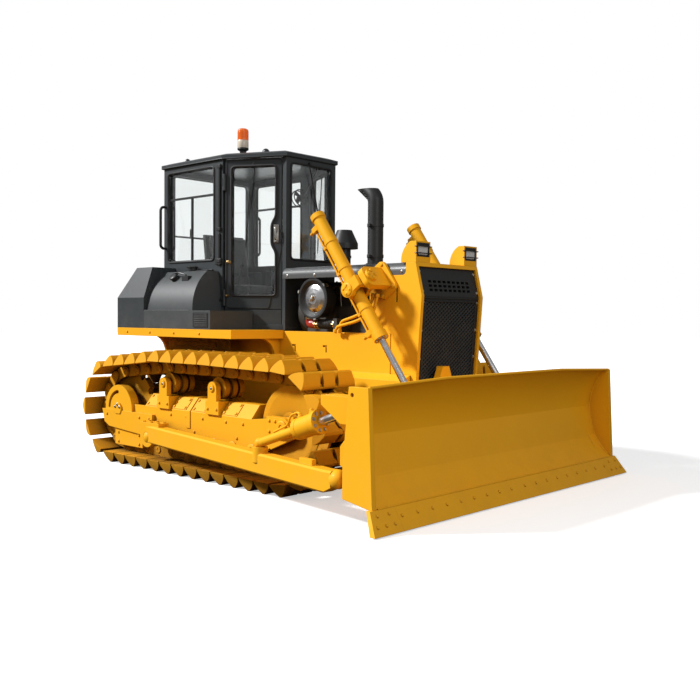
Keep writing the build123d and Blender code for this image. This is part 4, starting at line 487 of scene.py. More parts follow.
trackLook = {
    "pitch": 0.19, "count": 38, "sprocket": (-1.703, 0.52987, 0.36287), "idler": (0.7223, 0.557, 0.39),
    "carriers": ((-0.217, 0.8187, 0.1503), (-0.953, 0.8187, 0.1503)), "gauge": 1.04, "shoeHalf": 0.31,
    "shoeBase": 0.062, "endLean": 0.035, "shoeHeight": 0.105, "railY": 0.085, "slotHalf": 0.02,
    "flank": ((0.088, 0.0), (0.088, 0.015), (0.081, 0.031), (0.07, 0.049), (0.056, 0.0665), (0.038, 0.0835),
              (0.022, 0.0965), (0.012, 0.105)),
    "cut": ((0.088, 0.0), (0.088, 0.015), (0.034, 0.017), (0.033, 0.028), (0.032, 0.04), (0.03, 0.06),
            (0.022, 0.09), (0.012, 0.1)),
    "plate": 0.013, "stagger": 0.0095, "boss": 0.036, "bushing": 0.0275, "bushingHalf": 0.07, "boltX": 0.06,
    "boltSeat": 0.0155, "boltHead": ((0.013, 0), (0.013, 0.010), (0.0105, 0.0125)),
    "linkEnd": ((-0.046, -0.016, 0.016, 1), (-0.036, -0.033, 0.033, 1), (-0.015, -0.045, 0.045, 1),
                (0.03, -0.05, 0.0615, 1), (0.07, -0.05, 0.0615, 0.6)),  # reach, low, high and lean
}


def loopSeats():  # place and heading of every pin round the wheels
    wheels = [trackLook["sprocket"], trackLook["idler"], *trackLook["carriers"]]
    parts = []
    angles = []
    for (x1, z1, r1), (x2, z2, r2) in zip(wheels, wheels[1:] + wheels[:1]):
        span = math.hypot(x2 - x1, z2 - z1)
        angles.append(math.atan2(z2 - z1, x2 - x1) - math.acos((r1 - r2) / span))
        parts.append(math.sqrt(span ** 2 - (r1 - r2) ** 2))
    seats = []
    for index in range(trackLook["count"]):
        place = index * trackLook["pitch"]
        step = 0
        while True:
            x, z, r = wheels[step % 4]
            out = angles[step % 4]
            if place <= parts[step % 4]:
                heading = Vector((-math.sin(out), 0, math.cos(out)))
                seats.append((Vector((x + r * math.cos(out), 0, z + r * math.sin(out))) + heading * place, heading))
                break
            place -= parts[step % 4]
            step += 1
            x, z, r = wheels[step % 4]
            arc = (angles[step % 4] - out) % math.tau
            if place <= arc * r:
                turn = out + place / r
                seats.append((Vector((x + r * math.cos(turn), 0, z + r * math.sin(turn))),
                              Vector((-math.sin(turn), 0, math.cos(turn)))))
                break
            place -= arc * r
    return seats


def addShoe(form, pin, heading, side):  # convex flanks, leaning ends, and a bolt slot above each rail
    outward = Vector((heading.z, 0, -heading.x))
    half, slot = trackLook["shoeHalf"], trackLook["slotHalf"]
    rail = trackLook["railY"]
    lean, tall = trackLook["endLean"], trackLook["shoeHeight"]

    def ring(y, shape, leaning):
        points = [(x, z) for x, z in trackLook[shape]]
        points += [(-x, z) for x, z in reversed(points)]
        return [pin + heading * x + outward * (trackLook["shoeBase"] + z)
                + Vector((0, side + y - math.copysign(lean * z / tall, y) * leaning, 0)) for x, z in points]

    rows = [ring(-half, "flank", 1)]
    for middle in (-rail, rail):
        rows += [ring(middle - slot, "flank", 0), ring(middle - slot, "cut", 0),
                 ring(middle + slot, "cut", 0), ring(middle + slot, "flank", 0)]
    rows.append(ring(half, "flank", 1))
    addLoft(form, rows)
    for y in (-rail, rail):
        for x in (-trackLook["boltX"], trackLook["boltX"]):
            rise = trackLook["shoeBase"] + trackLook["boltSeat"]
            place = pin + heading * x + outward * rise + Vector((0, side + y, 0))
            addTurned(form, trackLook["boltHead"], place, outward, 6)


def addLink(form, pin, after, side):  # staggered side plates, the pin's round ends and its bushing
    heading = (after - pin).normalized()
    outward = Vector((heading.z, 0, -heading.x))
    pitch = (after - pin).length
    thick, shift = trackLook["plate"], trackLook["stagger"]
    stations = list(trackLook["linkEnd"])
    stations += [(pitch - reach, low, high, -lean) for reach, low, high, lean in reversed(stations)]
    for sign in (-1, 1):
        middle = side + sign * trackLook["railY"]
        rows = []
        for reach, low, high, lean in stations:
            y = middle + sign * shift * lean
            rows.append([pin + heading * reach + outward * v + Vector((0, y + w, 0))
                         for v, w in ((low, -thick), (high, -thick), (high, thick), (low, thick))])
        addLoft(form, rows)
        face = Vector((pin.x, middle + sign * (shift + thick), pin.z))
        boss = trackLook["boss"]
        cap = [(boss, -0.004), (boss, 0.004), (boss * 0.84, 0.008), (boss * 0.55, 0.008), (boss * 0.5, 0.005)]
        addTurned(form, cap, face, (0, sign, 0), 18)
    bushing, half = trackLook["bushing"], trackLook["bushingHalf"]
    addTurned(form, [(bushing, 0), (bushing, 2 * half)], (pin.x, side - half, pin.z), (0, 1, 0), 14)


def makeTracks():
    seats = loopSeats()
    for name, sign in (("left", 1), ("right", -1)):
        form = bmesh.new()
        side = sign * trackLook["gauge"]
        for index, (pin, heading) in enumerate(seats):
            addShoe(form, pin, heading, side)
            addLink(form, pin, seats[(index + 1) % len(seats)][0], side)
        piece = finishForm(form, "shoeChain_" + name, "chassis", shadedChainPaint, smooth=32)
        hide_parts("track_" + name)


makeTracks()
print("tracks: two chains of", trackLook["count"], "shoes")


undercarriageLook = {
    "outer": 1.203, "skirt": 1.237, "clamp": 1.225, "block": 1.245, "box": 1.217, "bolt": 0.0125, "shaftBolt": 0.012,
    "carriers": (-0.953, -0.217), "carrierZ": 0.8187, "idler": (0.7223, 0.557), "sprocket": (-1.703, 0.5299),
    "rollers": (-1.23, -0.72, -0.465, -0.21, 0.045, 0.3), "rollerZ": 0.3173, "knee": (1.203, 0.585),
    "ridge": (1.108, 0.7), "covers": ((-1.262, -1.065), (-0.842, -0.632), (-0.538, -0.328), (-0.106, 0.095)),
    "coverThick": 0.006, "coverGap": 0.0005, "coverEdges": (0.06, 0.94), "coverBolts": (0.2, 0.8), "coverInset": 0.022,
    "skirtBolts": ((-1.9, 0.465), (-1.33, 0.47), (-1.17, 0.47), (-1.17, 0.335)),
    "outerBolts": ((-0.86, 0.535), (-0.62, 0.535), (-0.38, 0.535), (-0.05, 0.535), (0.18, 0.535), (-0.5, 0.405),
                   (0.1, 0.405)),
    "boxBolts": ((-1.72, 0.2), (-1.72, 0.29), (-1.36, 0.2), (-1.36, 0.29)),
    "blockBolts": ((0.565, 0.512), (0.565, 0.602), (0.635, 0.512), (0.635, 0.602)),
    "clampBolt": (0.062, 0.635), "carrierBoltOut": 0.008, "sprocketTurns": (25, 90, 155), "sprocketRing": 0.04,
    "rollerCap": ((0.058, 0), (0.058, 0.008), (0.05, 0.013), (0.03, 0.013), (0.026, 0.009)),
    "idlerCap": ((0.058, 0), (0.058, 0.01), (0.048, 0.018), (0.024, 0.018), (0.02, 0.012)),
    "carrierCap": ((0.034, 0), (0.034, 0.006), (0.028, 0.012), (0.016, 0.012), (0.013, 0.008)),
}


def onSlope(x, share, lift=0.0):  # a place on the beam's sloped shoulder
    (y0, z0), (y1, z1) = undercarriageLook["knee"], undercarriageLook["ridge"]
    normal = Vector((0, z1 - z0, y0 - y1)).normalized()
    return Vector((x, y0 + (y1 - y0) * share, z0 + (z1 - z0) * share)) + normal * lift, normal


def makeUndercarriage():
    look = undercarriageLook
    outward = (0, 1, 0)
    places = [((x, look[face], z), outward) for face in ("skirt", "outer", "box", "block")
              for x, z in look[face + "Bolts"]]
    shift, z = look["clampBolt"]
    places += [((x + step, look["clamp"], z), outward) for x in look["carriers"] for step in (-shift, shift)]
    for low, high in look["covers"]:
        for x in (low + look["coverInset"], high - look["coverInset"]):
            for share in look["coverBolts"]:
                place, normal = onSlope(x, share, look["coverThick"])
                places.append((tuple(place), tuple(normal)))
    boltSet("frameBolts", mirrored(places), look["bolt"], "chassis", yellowPaint)

    form = bmesh.new()
    near, far = look["coverEdges"]
    for sign in (1, -1):
        for low, high in look["covers"]:
            outline = []
            for x, share in ((low, near), (high, near), (high, far), (low, far)):
                place, normal = onSlope(x, share, look["coverGap"])
                outline.append((place.x, sign * place.y, place.z))
            addPrism(form, outline, Vector((0, sign * normal.y, normal.z)) * look["coverThick"])
    finishForm(form, "beamCovers", "chassis", yellowPaint, bevel=0.002)

    form = bmesh.new()
    seats = [("rollerCap", "outer", x, look["rollerZ"], 24) for x in look["rollers"]]
    seats.append(("idlerCap", "block", *look["idler"], 28))
    seats += [("carrierCap", "clamp", x, look["carrierZ"], 24) for x in look["carriers"]]
    for sign in (1, -1):  # flanged caps of the shafts
        for cap, face, x, z, sides in seats:
            addTurned(form, look[cap], (x, sign * look[face], z), (0, sign, 0), sides)
    finishForm(form, "shaftCaps", "chassis", yellowPaint)

    places = [((x, look["clamp"] + look["carrierBoltOut"], look["carrierZ"]), outward) for x in look["carriers"]]
    x, z = look["sprocket"]
    for turn in look["sprocketTurns"]:
        angle = math.radians(turn)
        places.append(((x + look["sprocketRing"] * math.cos(angle), look["block"],
                        z + look["sprocketRing"] * math.sin(angle)), outward))
    boltSet("shaftBolts", mirrored(places), look["shaftBolt"], "chassis", zincSteel)


makeUndercarriage()


guardLook = {
    "y": 0.69, "thick": 0.01, "ribZ": (0.8, 1.0, 1.18), "ribFoot": (-1.5, -0.82), "ribTop": (-0.84, -1.48),
    "ribHalf": 0.02, "ribRise": 0.008,
    "outline": ((-1.62, 1.252), (-0.62, 1.252), (-0.62, 0.98), (-0.8, 0.72), (-1.38, 0.72), (-1.42, 0.84),
                (-1.74, 0.84), (-1.8, 0.76), (-2.0, 0.72), (-2.0, 1.0), (-1.62, 1.0)),
}


def makeSplashGuards():  # plates that hang from the fenders, inside the tracks
    look = guardLook
    form = bmesh.new()
    for sign in (1, -1):
        y = sign * look["y"]
        addPrism(form, [(x, y, z) for x, z in look["outline"]], (0, -sign * look["thick"], 0))
        for z in look["ribZ"]:  # pressed ribs
            outline = [(x, y, z - look["ribHalf"]) for x in look["ribFoot"]]
            outline += [(x, y, z + look["ribHalf"]) for x in look["ribTop"]]
            addPrism(form, outline, (0, sign * look["ribRise"], 0))
    # painted shade: the guards take the darker copy of the yellow paint, dark brown like steel in shade
    finishForm(form, "splashGuards", "chassis", shadedChainPaint, bevel=0.003)


makeSplashGuards()
print("undercarriage: covers, caps, bolts and splash guards")


bladeLook = {
    "top": (2.085, 1.017), "middle": (1.8945, 0.64), "foot": (2.128, 0.165), "skin": 0.022, "half": 1.72,
    "endPlate": 0.04, "crown": ((-1.7, 0.9867), (-0.829, 1.017), (0.829, 1.017), (1.7, 0.9867)), "lip": 0.0115,
    "bead": 0.007, "joint": 0.547, "jointBead": 0.004, "seamY": (-1.67, 0, 1.67), "seamZ": (0.19, 0.78, 18),
    "edgeTip": (2.233, 0.01), "edgeTop": (2.136, 0.1647), "edgeBolt": 0.011, "edgeRow": (0.1, 0.17, 9, 0.6),
    "bitBolts": ((1.58, 0.78), (1.7, 0.78), (1.56, 0.36), (1.65, 0.36), (1.74, 0.36)),
    "gussets": (-1.1, -0.28, 0.28, 1.1), "gussetThick": 0.02, "gussetFoot": (1.8, 0.572), "gussetZ": (0.68, 0.26, 6),
    "gussetTop": (0.94, 0.03, 0.955),
}


def circleThrough(first, second, third):  # centre and radius in X and Z
    (ax, az), (bx, bz), (cx, cz) = first, second, third
    d = 2 * (ax * (bz - cz) + bx * (cz - az) + cx * (az - bz))
    x = ((ax ** 2 + az ** 2) * (bz - cz) + (bx ** 2 + bz ** 2) * (cz - az) + (cx ** 2 + cz ** 2) * (az - bz)) / d
    z = ((ax ** 2 + az ** 2) * (cx - bx) + (bx ** 2 + bz ** 2) * (ax - cx) + (cx ** 2 + cz ** 2) * (bx - ax)) / d
    return x, z, math.hypot(ax - x, az - z)


def bladeX(z, back=0.0):  # the hollow front of the plate at a height
    x, middle, radius = circleThrough(bladeLook["top"], bladeLook["middle"], bladeLook["foot"])
    return x - math.sqrt(radius ** 2 - (z - middle) ** 2) - back


def onEdge(y, share):  # a place on the sloped face of the edge plates
    (x0, z0), (x1, z1) = bladeLook["edgeTip"], bladeLook["edgeTop"]
    return (x0 + (x1 - x0) * share, y, z0 + (z1 - z0) * share), (z1 - z0, 0, x0 - x1)


def climb(start, rise, steps):  # evenly spaced heights
    return [start + rise * step / steps for step in range(steps + 1)]


def makeBladeDetails():
    look = bladeLook
    start, pitch, count, row = look["edgeRow"]
    places = [onEdge(start + pitch * index, row) for index in range(count)]
    places += [onEdge(y, share) for y, share in look["bitBolts"]]
    boltSet("edgeBolts", mirrored(places), look["edgeBolt"], "blade", yellowPaint)

    form = bmesh.new()
    lip = [(look["top"][0] - look["skin"] / 2, y, z - 0.002) for y, z in look["crown"]]
    addTube(form, lip, look["lip"], 12, side=(1, 0, 0))
    heights = climb(*look["seamZ"])
    seam = look["half"] - look["endPlate"]
    for sign in (1, -1):
        addTube(form, [(bladeX(z) + 0.002, sign * seam, z) for z in heights], look["bead"], 8, side=(0, 1, 0))
    x, z = look["foot"]
    addTube(form, [(x + 0.004, y, z + 0.003) for y in look["seamY"]], look["bead"], 8, side=(0, 0, 1))
    z = look["joint"]
    addTube(form, [(bladeX(z) + 0.0005, y, z) for y in look["seamY"]], look["jointBead"], 8, side=(0, 0, 1))
    finishForm(form, "bladeSeams", "blade", yellowPaint)

    form = bmesh.new()
    footX, footZ = look["gussetFoot"]
    topZ, topBack, tipZ = look["gussetTop"]
    for middle in look["gussets"]:
        low = middle - look["gussetThick"] / 2
        outline = [(footX, low, footZ)]
        outline += [(bladeX(z, look["skin"]) - 0.0005, low, z) for z in climb(*look["gussetZ"])]
        outline.append((bladeX(topZ, look["skin"]) - topBack, low, tipZ))
        addPrism(form, outline, (0, look["gussetThick"], 0))
    finishForm(form, "bladeGussets", "blade", yellowPaint, bevel=0.002)


makeBladeDetails()
print("blade: bolts, seams and gussets")


liftLook = {
    "pivot": (0.985, 0.66, 1.69), "eye": (1.707, 0.66, 0.68), "gland": 0.5, "rear": -0.8, "ports": (-0.706, 0.392),
    "portEnd": 0.11, "bands": (-0.5, -0.22, 0.2), "yokeFace": 0.108, "bolt": 0.011, "glandRing": (0.047, 8),
    "rearRing": (0.042, 6), "band": (0.05, 0.0605, 0.014), "clip": (0.008, 0.0165, 0.014), "clipOut": 0.088,
    "lugOut": 0.066, "lugHalf": (0.012, 0.01, 0.012), "capRing": (0.036, 4), "capBolt": 0.009, "capBoltOut": 0.009,
    "port": ((0.019, 0), (0.019, 0.014), (0.013, 0.018), (0.013, 0.03), (0.016, 0.03), (0.016, 0.042), (0.012, 0.046)),
    "wiper": ((0.0335, -0.001), (0.04, -0.001), (0.04, 0.004), (0.037, 0.006), (0.0335, 0.006)),
    "yokeCap": ((0.056, -0.001), (0.056, 0.006), (0.05, 0.01), (0.022, 0.01), (0.018, 0.006)),
    "lean": (0.8135, 0.5815), "bracketY": 0.46, "bracketOut": 0.14, "bracketAlong": (-0.072, 0.072),
    "bracketAcross": (-0.112, 0.112), "bracketBolt": 0.014, "frontCap": 0.22, "pipe": 0.0135, "pipeBend": 0.05,
    "pipeGap": 0.045, "nut": ((0.021, -0.014), (0.021, 0.014), (0.016, 0.018)),
    "footNut": ((0.021, 0.0), (0.021, 0.026), (0.016, 0.03)),
}


def ringPlaces(centre, normal, radius, count):  # bolt places round a centre
    normal = Vector(normal).normalized()
    side = normal.orthogonal().normalized()
    spokes = spokesRound(side, normal.cross(side), count, 0.5)
    return [(tuple(Vector(centre) + spoke * radius), tuple(normal)) for spoke in spokes]


def makeLiftDetails():
    look = liftLook
    for name, sign in (("left", 1), ("right", -1)):
        pivot, eye = (Vector((x, sign * y, z)) for x, y, z in (look["pivot"], look["eye"]))
        aim = (eye - pivot).normalized()
        back = Vector((aim.z, 0, -aim.x))
        places = ringPlaces(pivot + aim * look["gland"], aim, *look["glandRing"])
        places += ringPlaces(pivot + aim * look["rear"], -aim, *look["rearRing"])
        boltSet("glandBolts_" + name, places, look["bolt"], "cylinder_" + name, zincSteel)
        form = bmesh.new()
        half = Vector(look["lugHalf"])
        for reach in look["bands"]:  # clamp bands that hold the oil pipe off the barrel
            spot = pivot + aim * reach
            addBand(form, *look["band"], spot, aim, 28)
            addBand(form, *look["clip"], spot + back * look["clipOut"], aim, 16)
            lug = spot + back * look["lugOut"]
            addBlock(form, lug - half, lug + half)
        for reach in look["ports"]:
            addTurned(form, look["port"], pivot + aim * reach + back * look["portEnd"], back, 18)
        addTurned(form, look["wiper"], pivot + aim * look["gland"], aim, 28, looped=True)
        finishForm(form, "barrelBands_" + name, "cylinder_" + name, yellowPaint)
        form = bmesh.new()
        for out in (1, -1):
            face = pivot + Vector((0, out * look["yokeFace"], 0))
            addTurned(form, look["yokeCap"], face, (0, out, 0), 28)
            boltFace = face + Vector((0, out * look["capBoltOut"], 0))
            for place, normal in ringPlaces(boltFace, (0, out, 0), *look["capRing"]):
                addBolt(form, place, normal, look["capBolt"])
        finishForm(form, "yokeCaps_" + name, "yoke_" + name, yellowPaint)

    ahead, climbed = look["lean"]
    front, down = Vector((ahead, 0, climbed)), Vector((climbed, 0, -ahead))
    x, y, z = look["pivot"]
    seat = Vector((x, look["bracketY"], z)) + front * look["bracketOut"]
    places = [(tuple(seat + front * along + down * across), (0, 1, 0))
              for along in look["bracketAlong"] for across in look["bracketAcross"]]
    places += ringPlaces(Vector((x, y, z)) + front * look["frontCap"], front, *look["capRing"])
    boltSet("bracketBolts", mirrored(places), look["bracketBolt"], "chassis", yellowPaint)
    form = bmesh.new()
    for sign in (1, -1):  # rigid oil pipes from the bracket down to the engine rail
        for shift in (0.0, look["pipeGap"]):
            run = [(1.04 + shift, sign * 0.5, 1.645), (1.01 + shift, sign * 0.515, 1.545 - shift),
                   (0.86, sign * 0.515, 1.47 - shift), (0.66 - shift, sign * 0.5, 1.42 - shift),
                   (0.63 - shift, sign * 0.485, 1.322)]
            addTube(form, roundedRun(run, look["pipeBend"], 6), look["pipe"], 12, side=(0, 1, 0))
            addTurned(form, look["nut"], run[0], Vector(run[0]) - Vector(run[1]), 6)
            addTurned(form, look["footNut"], run[-1], (0, 0, 1), 6)
    finishForm(form, "liftPipes", "chassis", yellowPaint)


makeLiftDetails()


armLook = {"capTop": 0.46, "capX": (-1.078, -0.96, -0.85), "capY": (1.286, 1.35), "bolt": 0.015}
tiltLook = {
    "ball": (0.797, 1.545, 0.47), "eye": (1.79, 1.575, 0.8), "gland": 0.724, "glandRing": (0.066, 8),
    "glandBolt": 0.012, "tail": 0.49, "radius": 0.082, "portReach": (0.52, 0.655), "pipe": 0.009, "pipeBend": 0.03,
    "pipeEnd": (0.19, 0.045),
    "port": ((0.022, 0), (0.022, 0.016), (0.015, 0.02), (0.015, 0.034), (0.011, 0.037)),
    "collar": ((0.06, 0.0), (0.0845, 0.0), (0.0845, 0.02), (0.06, 0.02)),
    "sleeve": (0.33, 0.7), "sleeveRadius": 0.05, "barReach": 0.52, "bar": ((0.012, -0.07), (0.012, 0.07)),
}


def makeArmDetails():
    look = tiltLook
    for name, sign in (("left", 1), ("right", -1)):
        places = [((x, sign * y, armLook["capTop"]), (0, 0, 1)) for x in armLook["capX"] for y in armLook["capY"]]
        boltSet("socketBolts_" + name, places, armLook["bolt"], name + "_arm", yellowPaint)
    ball, eye = (Vector((x, -y, z)) for x, y, z in (look["ball"], look["eye"]))  # tilt cylinder, right side
    aim = (eye - ball).normalized()
    across = aim.cross(Vector((0, 0, 1))).normalized()
    up = across.cross(aim)
    places = ringPlaces(ball + aim * look["gland"], aim, *look["glandRing"])
    boltSet("tiltGlandBolts", places, look["glandBolt"], "tilt_cylinder", zincSteel)
    form = bmesh.new()
    tops = [ball + aim * reach + up * (look["radius"] - 0.004) for reach in look["portReach"]]
    for spot in tops:
        addTurned(form, look["port"], spot, up, 16)
    along, rise = look["pipeEnd"]
    run = [tops[0] + up * 0.03, tops[0] + up * 0.045 - aim * 0.02, tops[0] + up * 0.045 - aim * 0.1,
           tops[0] - up * 0.02 - aim * 0.16, ball + aim * along + up * rise]
    addTube(form, roundedRun(run, look["pipeBend"]), look["pipe"], 10)
    addTurned(form, look["collar"], ball + aim * look["tail"], aim, 30)
    finishForm(form, "tiltFittings", "tilt_cylinder", yellowPaint)
    ball, eye = Vector(look["ball"]), Vector(look["eye"])  # pitch brace, left side
    aim = (eye - ball).normalized()
    form = bmesh.new()
    radius = look["sleeveRadius"]
    nut = [(radius * 1.12, -0.02), (radius * 1.2, -0.016), (radius * 1.2, 0.016), (radius * 1.12, 0.02)]
    for reach in look["sleeve"]:
        addTurned(form, nut, ball + aim * reach, aim, 6)
    addTurned(form, look["bar"], ball + aim * look["barReach"], (0, 1, 0), 14)
    finishForm(form, "braceNuts", "brace", yellowPaint, bevel=0.002)


makeArmDetails()
print("push arms and cylinders: bolts, bands and fittings")


frontLook = {
    "knee": (1.508, 1.643), "top": (1.44, 1.918), "foot": (1.45, 0.82), "sunk": 0.022, "pocket": 0.009,
    "fieldHalf": 0.356, "fieldLow": 0.864, "fieldHigh": 1.599, "diamond": 0.05, "steepness": 1.4, "wire": 0.0052,
    "bolt": 0.0105, "boltHalf": 0.381, "boltLow": (0.885, 1.12, 1.355, 1.59), "boltHigh": (1.68, 1.845),
    "lens": (0.3345, 2.022, 0.066, 0.042), "lensFace": 1.4342, "bars": (1.994, 2.05), "barX": (1.43, 1.455),
    "barY": (0.098, -0.1), "rimX": 1.4395, "crown": ((0.0, 1.0), (0.0028, 0.97), (0.0045, 0.84), (0.0054, 0.5)),
}


def shellX(z):  # the bent front of the radiator shell
    x0, z0 = frontLook["knee"]
    x1, z1 = frontLook["top"] if z > z0 else frontLook["foot"]
    return x0 + (z - z0) * (x1 - x0) / (z1 - z0)


def makeGrille():
    look = frontLook
    half, low, high = look["fieldHalf"], look["fieldLow"], look["fieldHigh"]
    depth = look["sunk"] + look["pocket"] - look["wire"]
    form = bmesh.new()
    for lean in (look["steepness"], -look["steepness"]):
        drift = abs(lean) * (high - low)
        start = -half - (drift if lean > 0 else 0)
        for index in range(int((2 * half + drift) / look["diamond"]) + 1):
            y0 = start + index * look["diamond"]
            cuts = sorted((low + (side - y0) / lean for side in (-half, half)))
            z0, z1 = max(low, cuts[0]), min(high, cuts[1])
            if z1 - z0 > 0.01:
                ends = [(shellX(z) - depth, y0 + lean * (z - low), z) for z in (z0, z1)]
                addTube(form, ends, look["wire"], 4, side=(1, 0, 0))
    finishForm(form, "grilleMesh", "chassis", greyPaint, smooth=20)
    form = bmesh.new()
    corners = [(-half, low), (half, low), (half, high), (-half, high)]
    frame3d = [(shellX(z) - look["sunk"] + 0.001, y, z) for y, z in corners]
    addTube(form, roundedRun(frame3d, 0.03, 5, True), 0.007, 8, True)
    z0 = look["knee"][1] - 0.018
    addTube(form, [(shellX(z0) - look["sunk"] + 0.001, y, z0) for y in (-0.39, 0.39)], 0.006, 8, side=(0, 0, 1))
    finishForm(form, "grilleRim", "chassis", blackPaint)
    places = []
    for heights, normal in ((look["boltLow"], (1, 0, -0.07)), (look["boltHigh"], (0.97, 0, 0.24))):
        places += [((shellX(z) - look["sunk"], look["boltHalf"], z), normal) for z in heights]
    boltSet("grilleBolts", mirrored(places), look["bolt"], "chassis", zincSteel)


def roundedPanel(middleY, middleZ, halfY, halfZ, corner):
    corners = [(0, -halfY, -halfZ), (0, halfY, -halfZ), (0, halfY, halfZ), (0, -halfY, halfZ)]
    return [Vector((0, middleY, middleZ)) + point for point in roundedRun(corners, corner, 5, True)]


def makeLamps():
    look = frontLook
    y, z, halfY, halfZ = look["lens"]
    form = bmesh.new()
    bars = bmesh.new()
    for sign in (1, -1):
        rings = []
        for rise, share in look["crown"]:
            ring = roundedPanel(sign * y, z, halfY * share, halfZ * share, 0.02 * share)
            rings.append([point + Vector((look["lensFace"] + rise, 0, 0)) for point in ring])
        addLoft(form, rings)
        for bar in look["bars"]:
            near, far = look["barX"]
            left, right = (sign * (y + step) for step in look["barY"])
            run = [(near, left, bar), (far, left, bar), (far, right, bar), (near, right, bar)]
            addTube(bars, roundedRun(run, 0.008), 0.0042, 8, side=(0, 0, 1))
        rim = roundedPanel(sign * y, z, halfY + 0.006, halfZ + 0.005, 0.024)
        addTube(bars, [point + Vector((look["rimX"], 0, 0)) for point in rim], 0.0045, 6, True)
    finishForm(form, "lampLenses", "chassis", lampLens)
    finishForm(bars, "lampGuards", "chassis", blackPaint)


hoodLook = {
    "half": 0.434, "boltZ": 1.842, "boltX": (-0.1, 0.26, 0.62, 0.86, 1.08, 1.29), "bolt": 0.01, "top": 1.918,
    "ribs": (0.17, 0.3), "ribX": (-0.12, 1.25), "ribHigh": 0.007, "ribHalf": 0.02, "ribCrown": (0.996, 0.72),
    "exhaust": (0.615, 1.944, 0.088), "flangeBolt": 0.011, "stackRadius": 0.072, "clampZ": (2.02, 2.3),
    "clampHalf": 0.014, "intakeX": 0.225, "collarZ": 2.03, "collar": (0.058, 0.066, 0.012), "vanes": 20, "vaneZ": 2.118,
    "vaneReach": (0.06, 0.112), "vaneHalf": 0.003, "vaneHigh": 0.042,
}


def makeHoodDetails():
    look = hoodLook
    places = [((x, look["half"], look["boltZ"]), (0, 1, 0)) for x in look["boltX"]]
    boltSet("hoodBolts", mirrored(places), look["bolt"], "chassis", zincSteel)
    form = bmesh.new()
    for y in look["ribs"]:
        for sign in (1, -1):
            x0, x1 = look["ribX"]
            outline = levelPanel(x0, sign * y - look["ribHalf"], x1, sign * y + look["ribHalf"], 0)
            run = roundedRun(outline, 0.019, 5, True)
            rings = [[point + Vector((0, 0, look["top"] + rise)) for point in run]
                     for rise in (-0.001, look["ribHigh"] * 0.6)]
            centre = Vector(((x0 + x1) / 2, sign * y, 0))
            long, wide = look["ribCrown"]
            offsets = [point - centre for point in run]
            rings.append([centre + Vector((offset.x * long, offset.y * wide, look["top"] + look["ribHigh"]))
                          for offset in offsets])
            addLoft(form, rings)
    finishForm(form, "hoodRibs", "chassis", litHoodPaint)
    form = bmesh.new()
    x, z, radius = look["exhaust"]
    for place, normal in ringPlaces((x, 0, z), (0, 0, 1), radius, 6):
        addBolt(form, place, normal, look["flangeBolt"])
    stack, half = look["stackRadius"], look["clampHalf"]
    for z in look["clampZ"]:
        addBand(form, stack - 0.002, stack + 0.005, half, (x, 0, z), (0, 0, 1), 32)
        addBlock(form, (x - half, -stack - 0.026, z - 0.012), (x + half, -stack + 0.002, z + 0.012))
    finishForm(form, "stackClamps", "chassis", blackPaint)
    form = bmesh.new()
    addBand(form, *look["collar"], (look["intakeX"], 0, look["collarZ"]), (0, 0, 1), 28)
    foot = Vector((look["intakeX"], 0, look["vaneZ"]))
    near, far = look["vaneReach"]
    for spoke in spokesRound(Vector((1, 0, 0)), Vector((0, 1, 0)), look["vanes"]):  # upright, round the intake cap
        side = Vector((-spoke.y, spoke.x, 0)) * look["vaneHalf"]
        outline = [foot + spoke * r + side * s for r, s in ((near, -1), (far, -1), (far, 1), (near, 1))]
        addPrism(form, outline, (0, 0, look["vaneHigh"]))
    finishForm(form, "intakeVanes", "chassis", blackPaint)


bayLook = {
    "filter": (0.233, -0.428, 1.627), "rim": 0.186, "clips": (40, 160, 280), "hoseX": 0.12, "hoseY": -0.345,
    "hoseTop": 1.462, "hoseLow": 1.395, "hoseFront": 0.47, "hose": 0.046, "bend": 0.06, "elbowEnd": 0.235, "folds": 9,
    "knob": ((0.024, 0), (0.024, 0.006), (0.013, 0.008), (0.011, 0.02), (0.006, 0.022)),
    "wing": ((0.006, -0.03), (0.009, -0.026), (0.009, 0.026), (0.006, 0.03)), "cuff": 0.03, "injectors": 6,
    "fold": ((0.0, 0.84), (0.25, 0.97), (0.5, 1.0), (0.75, 0.97)),
}


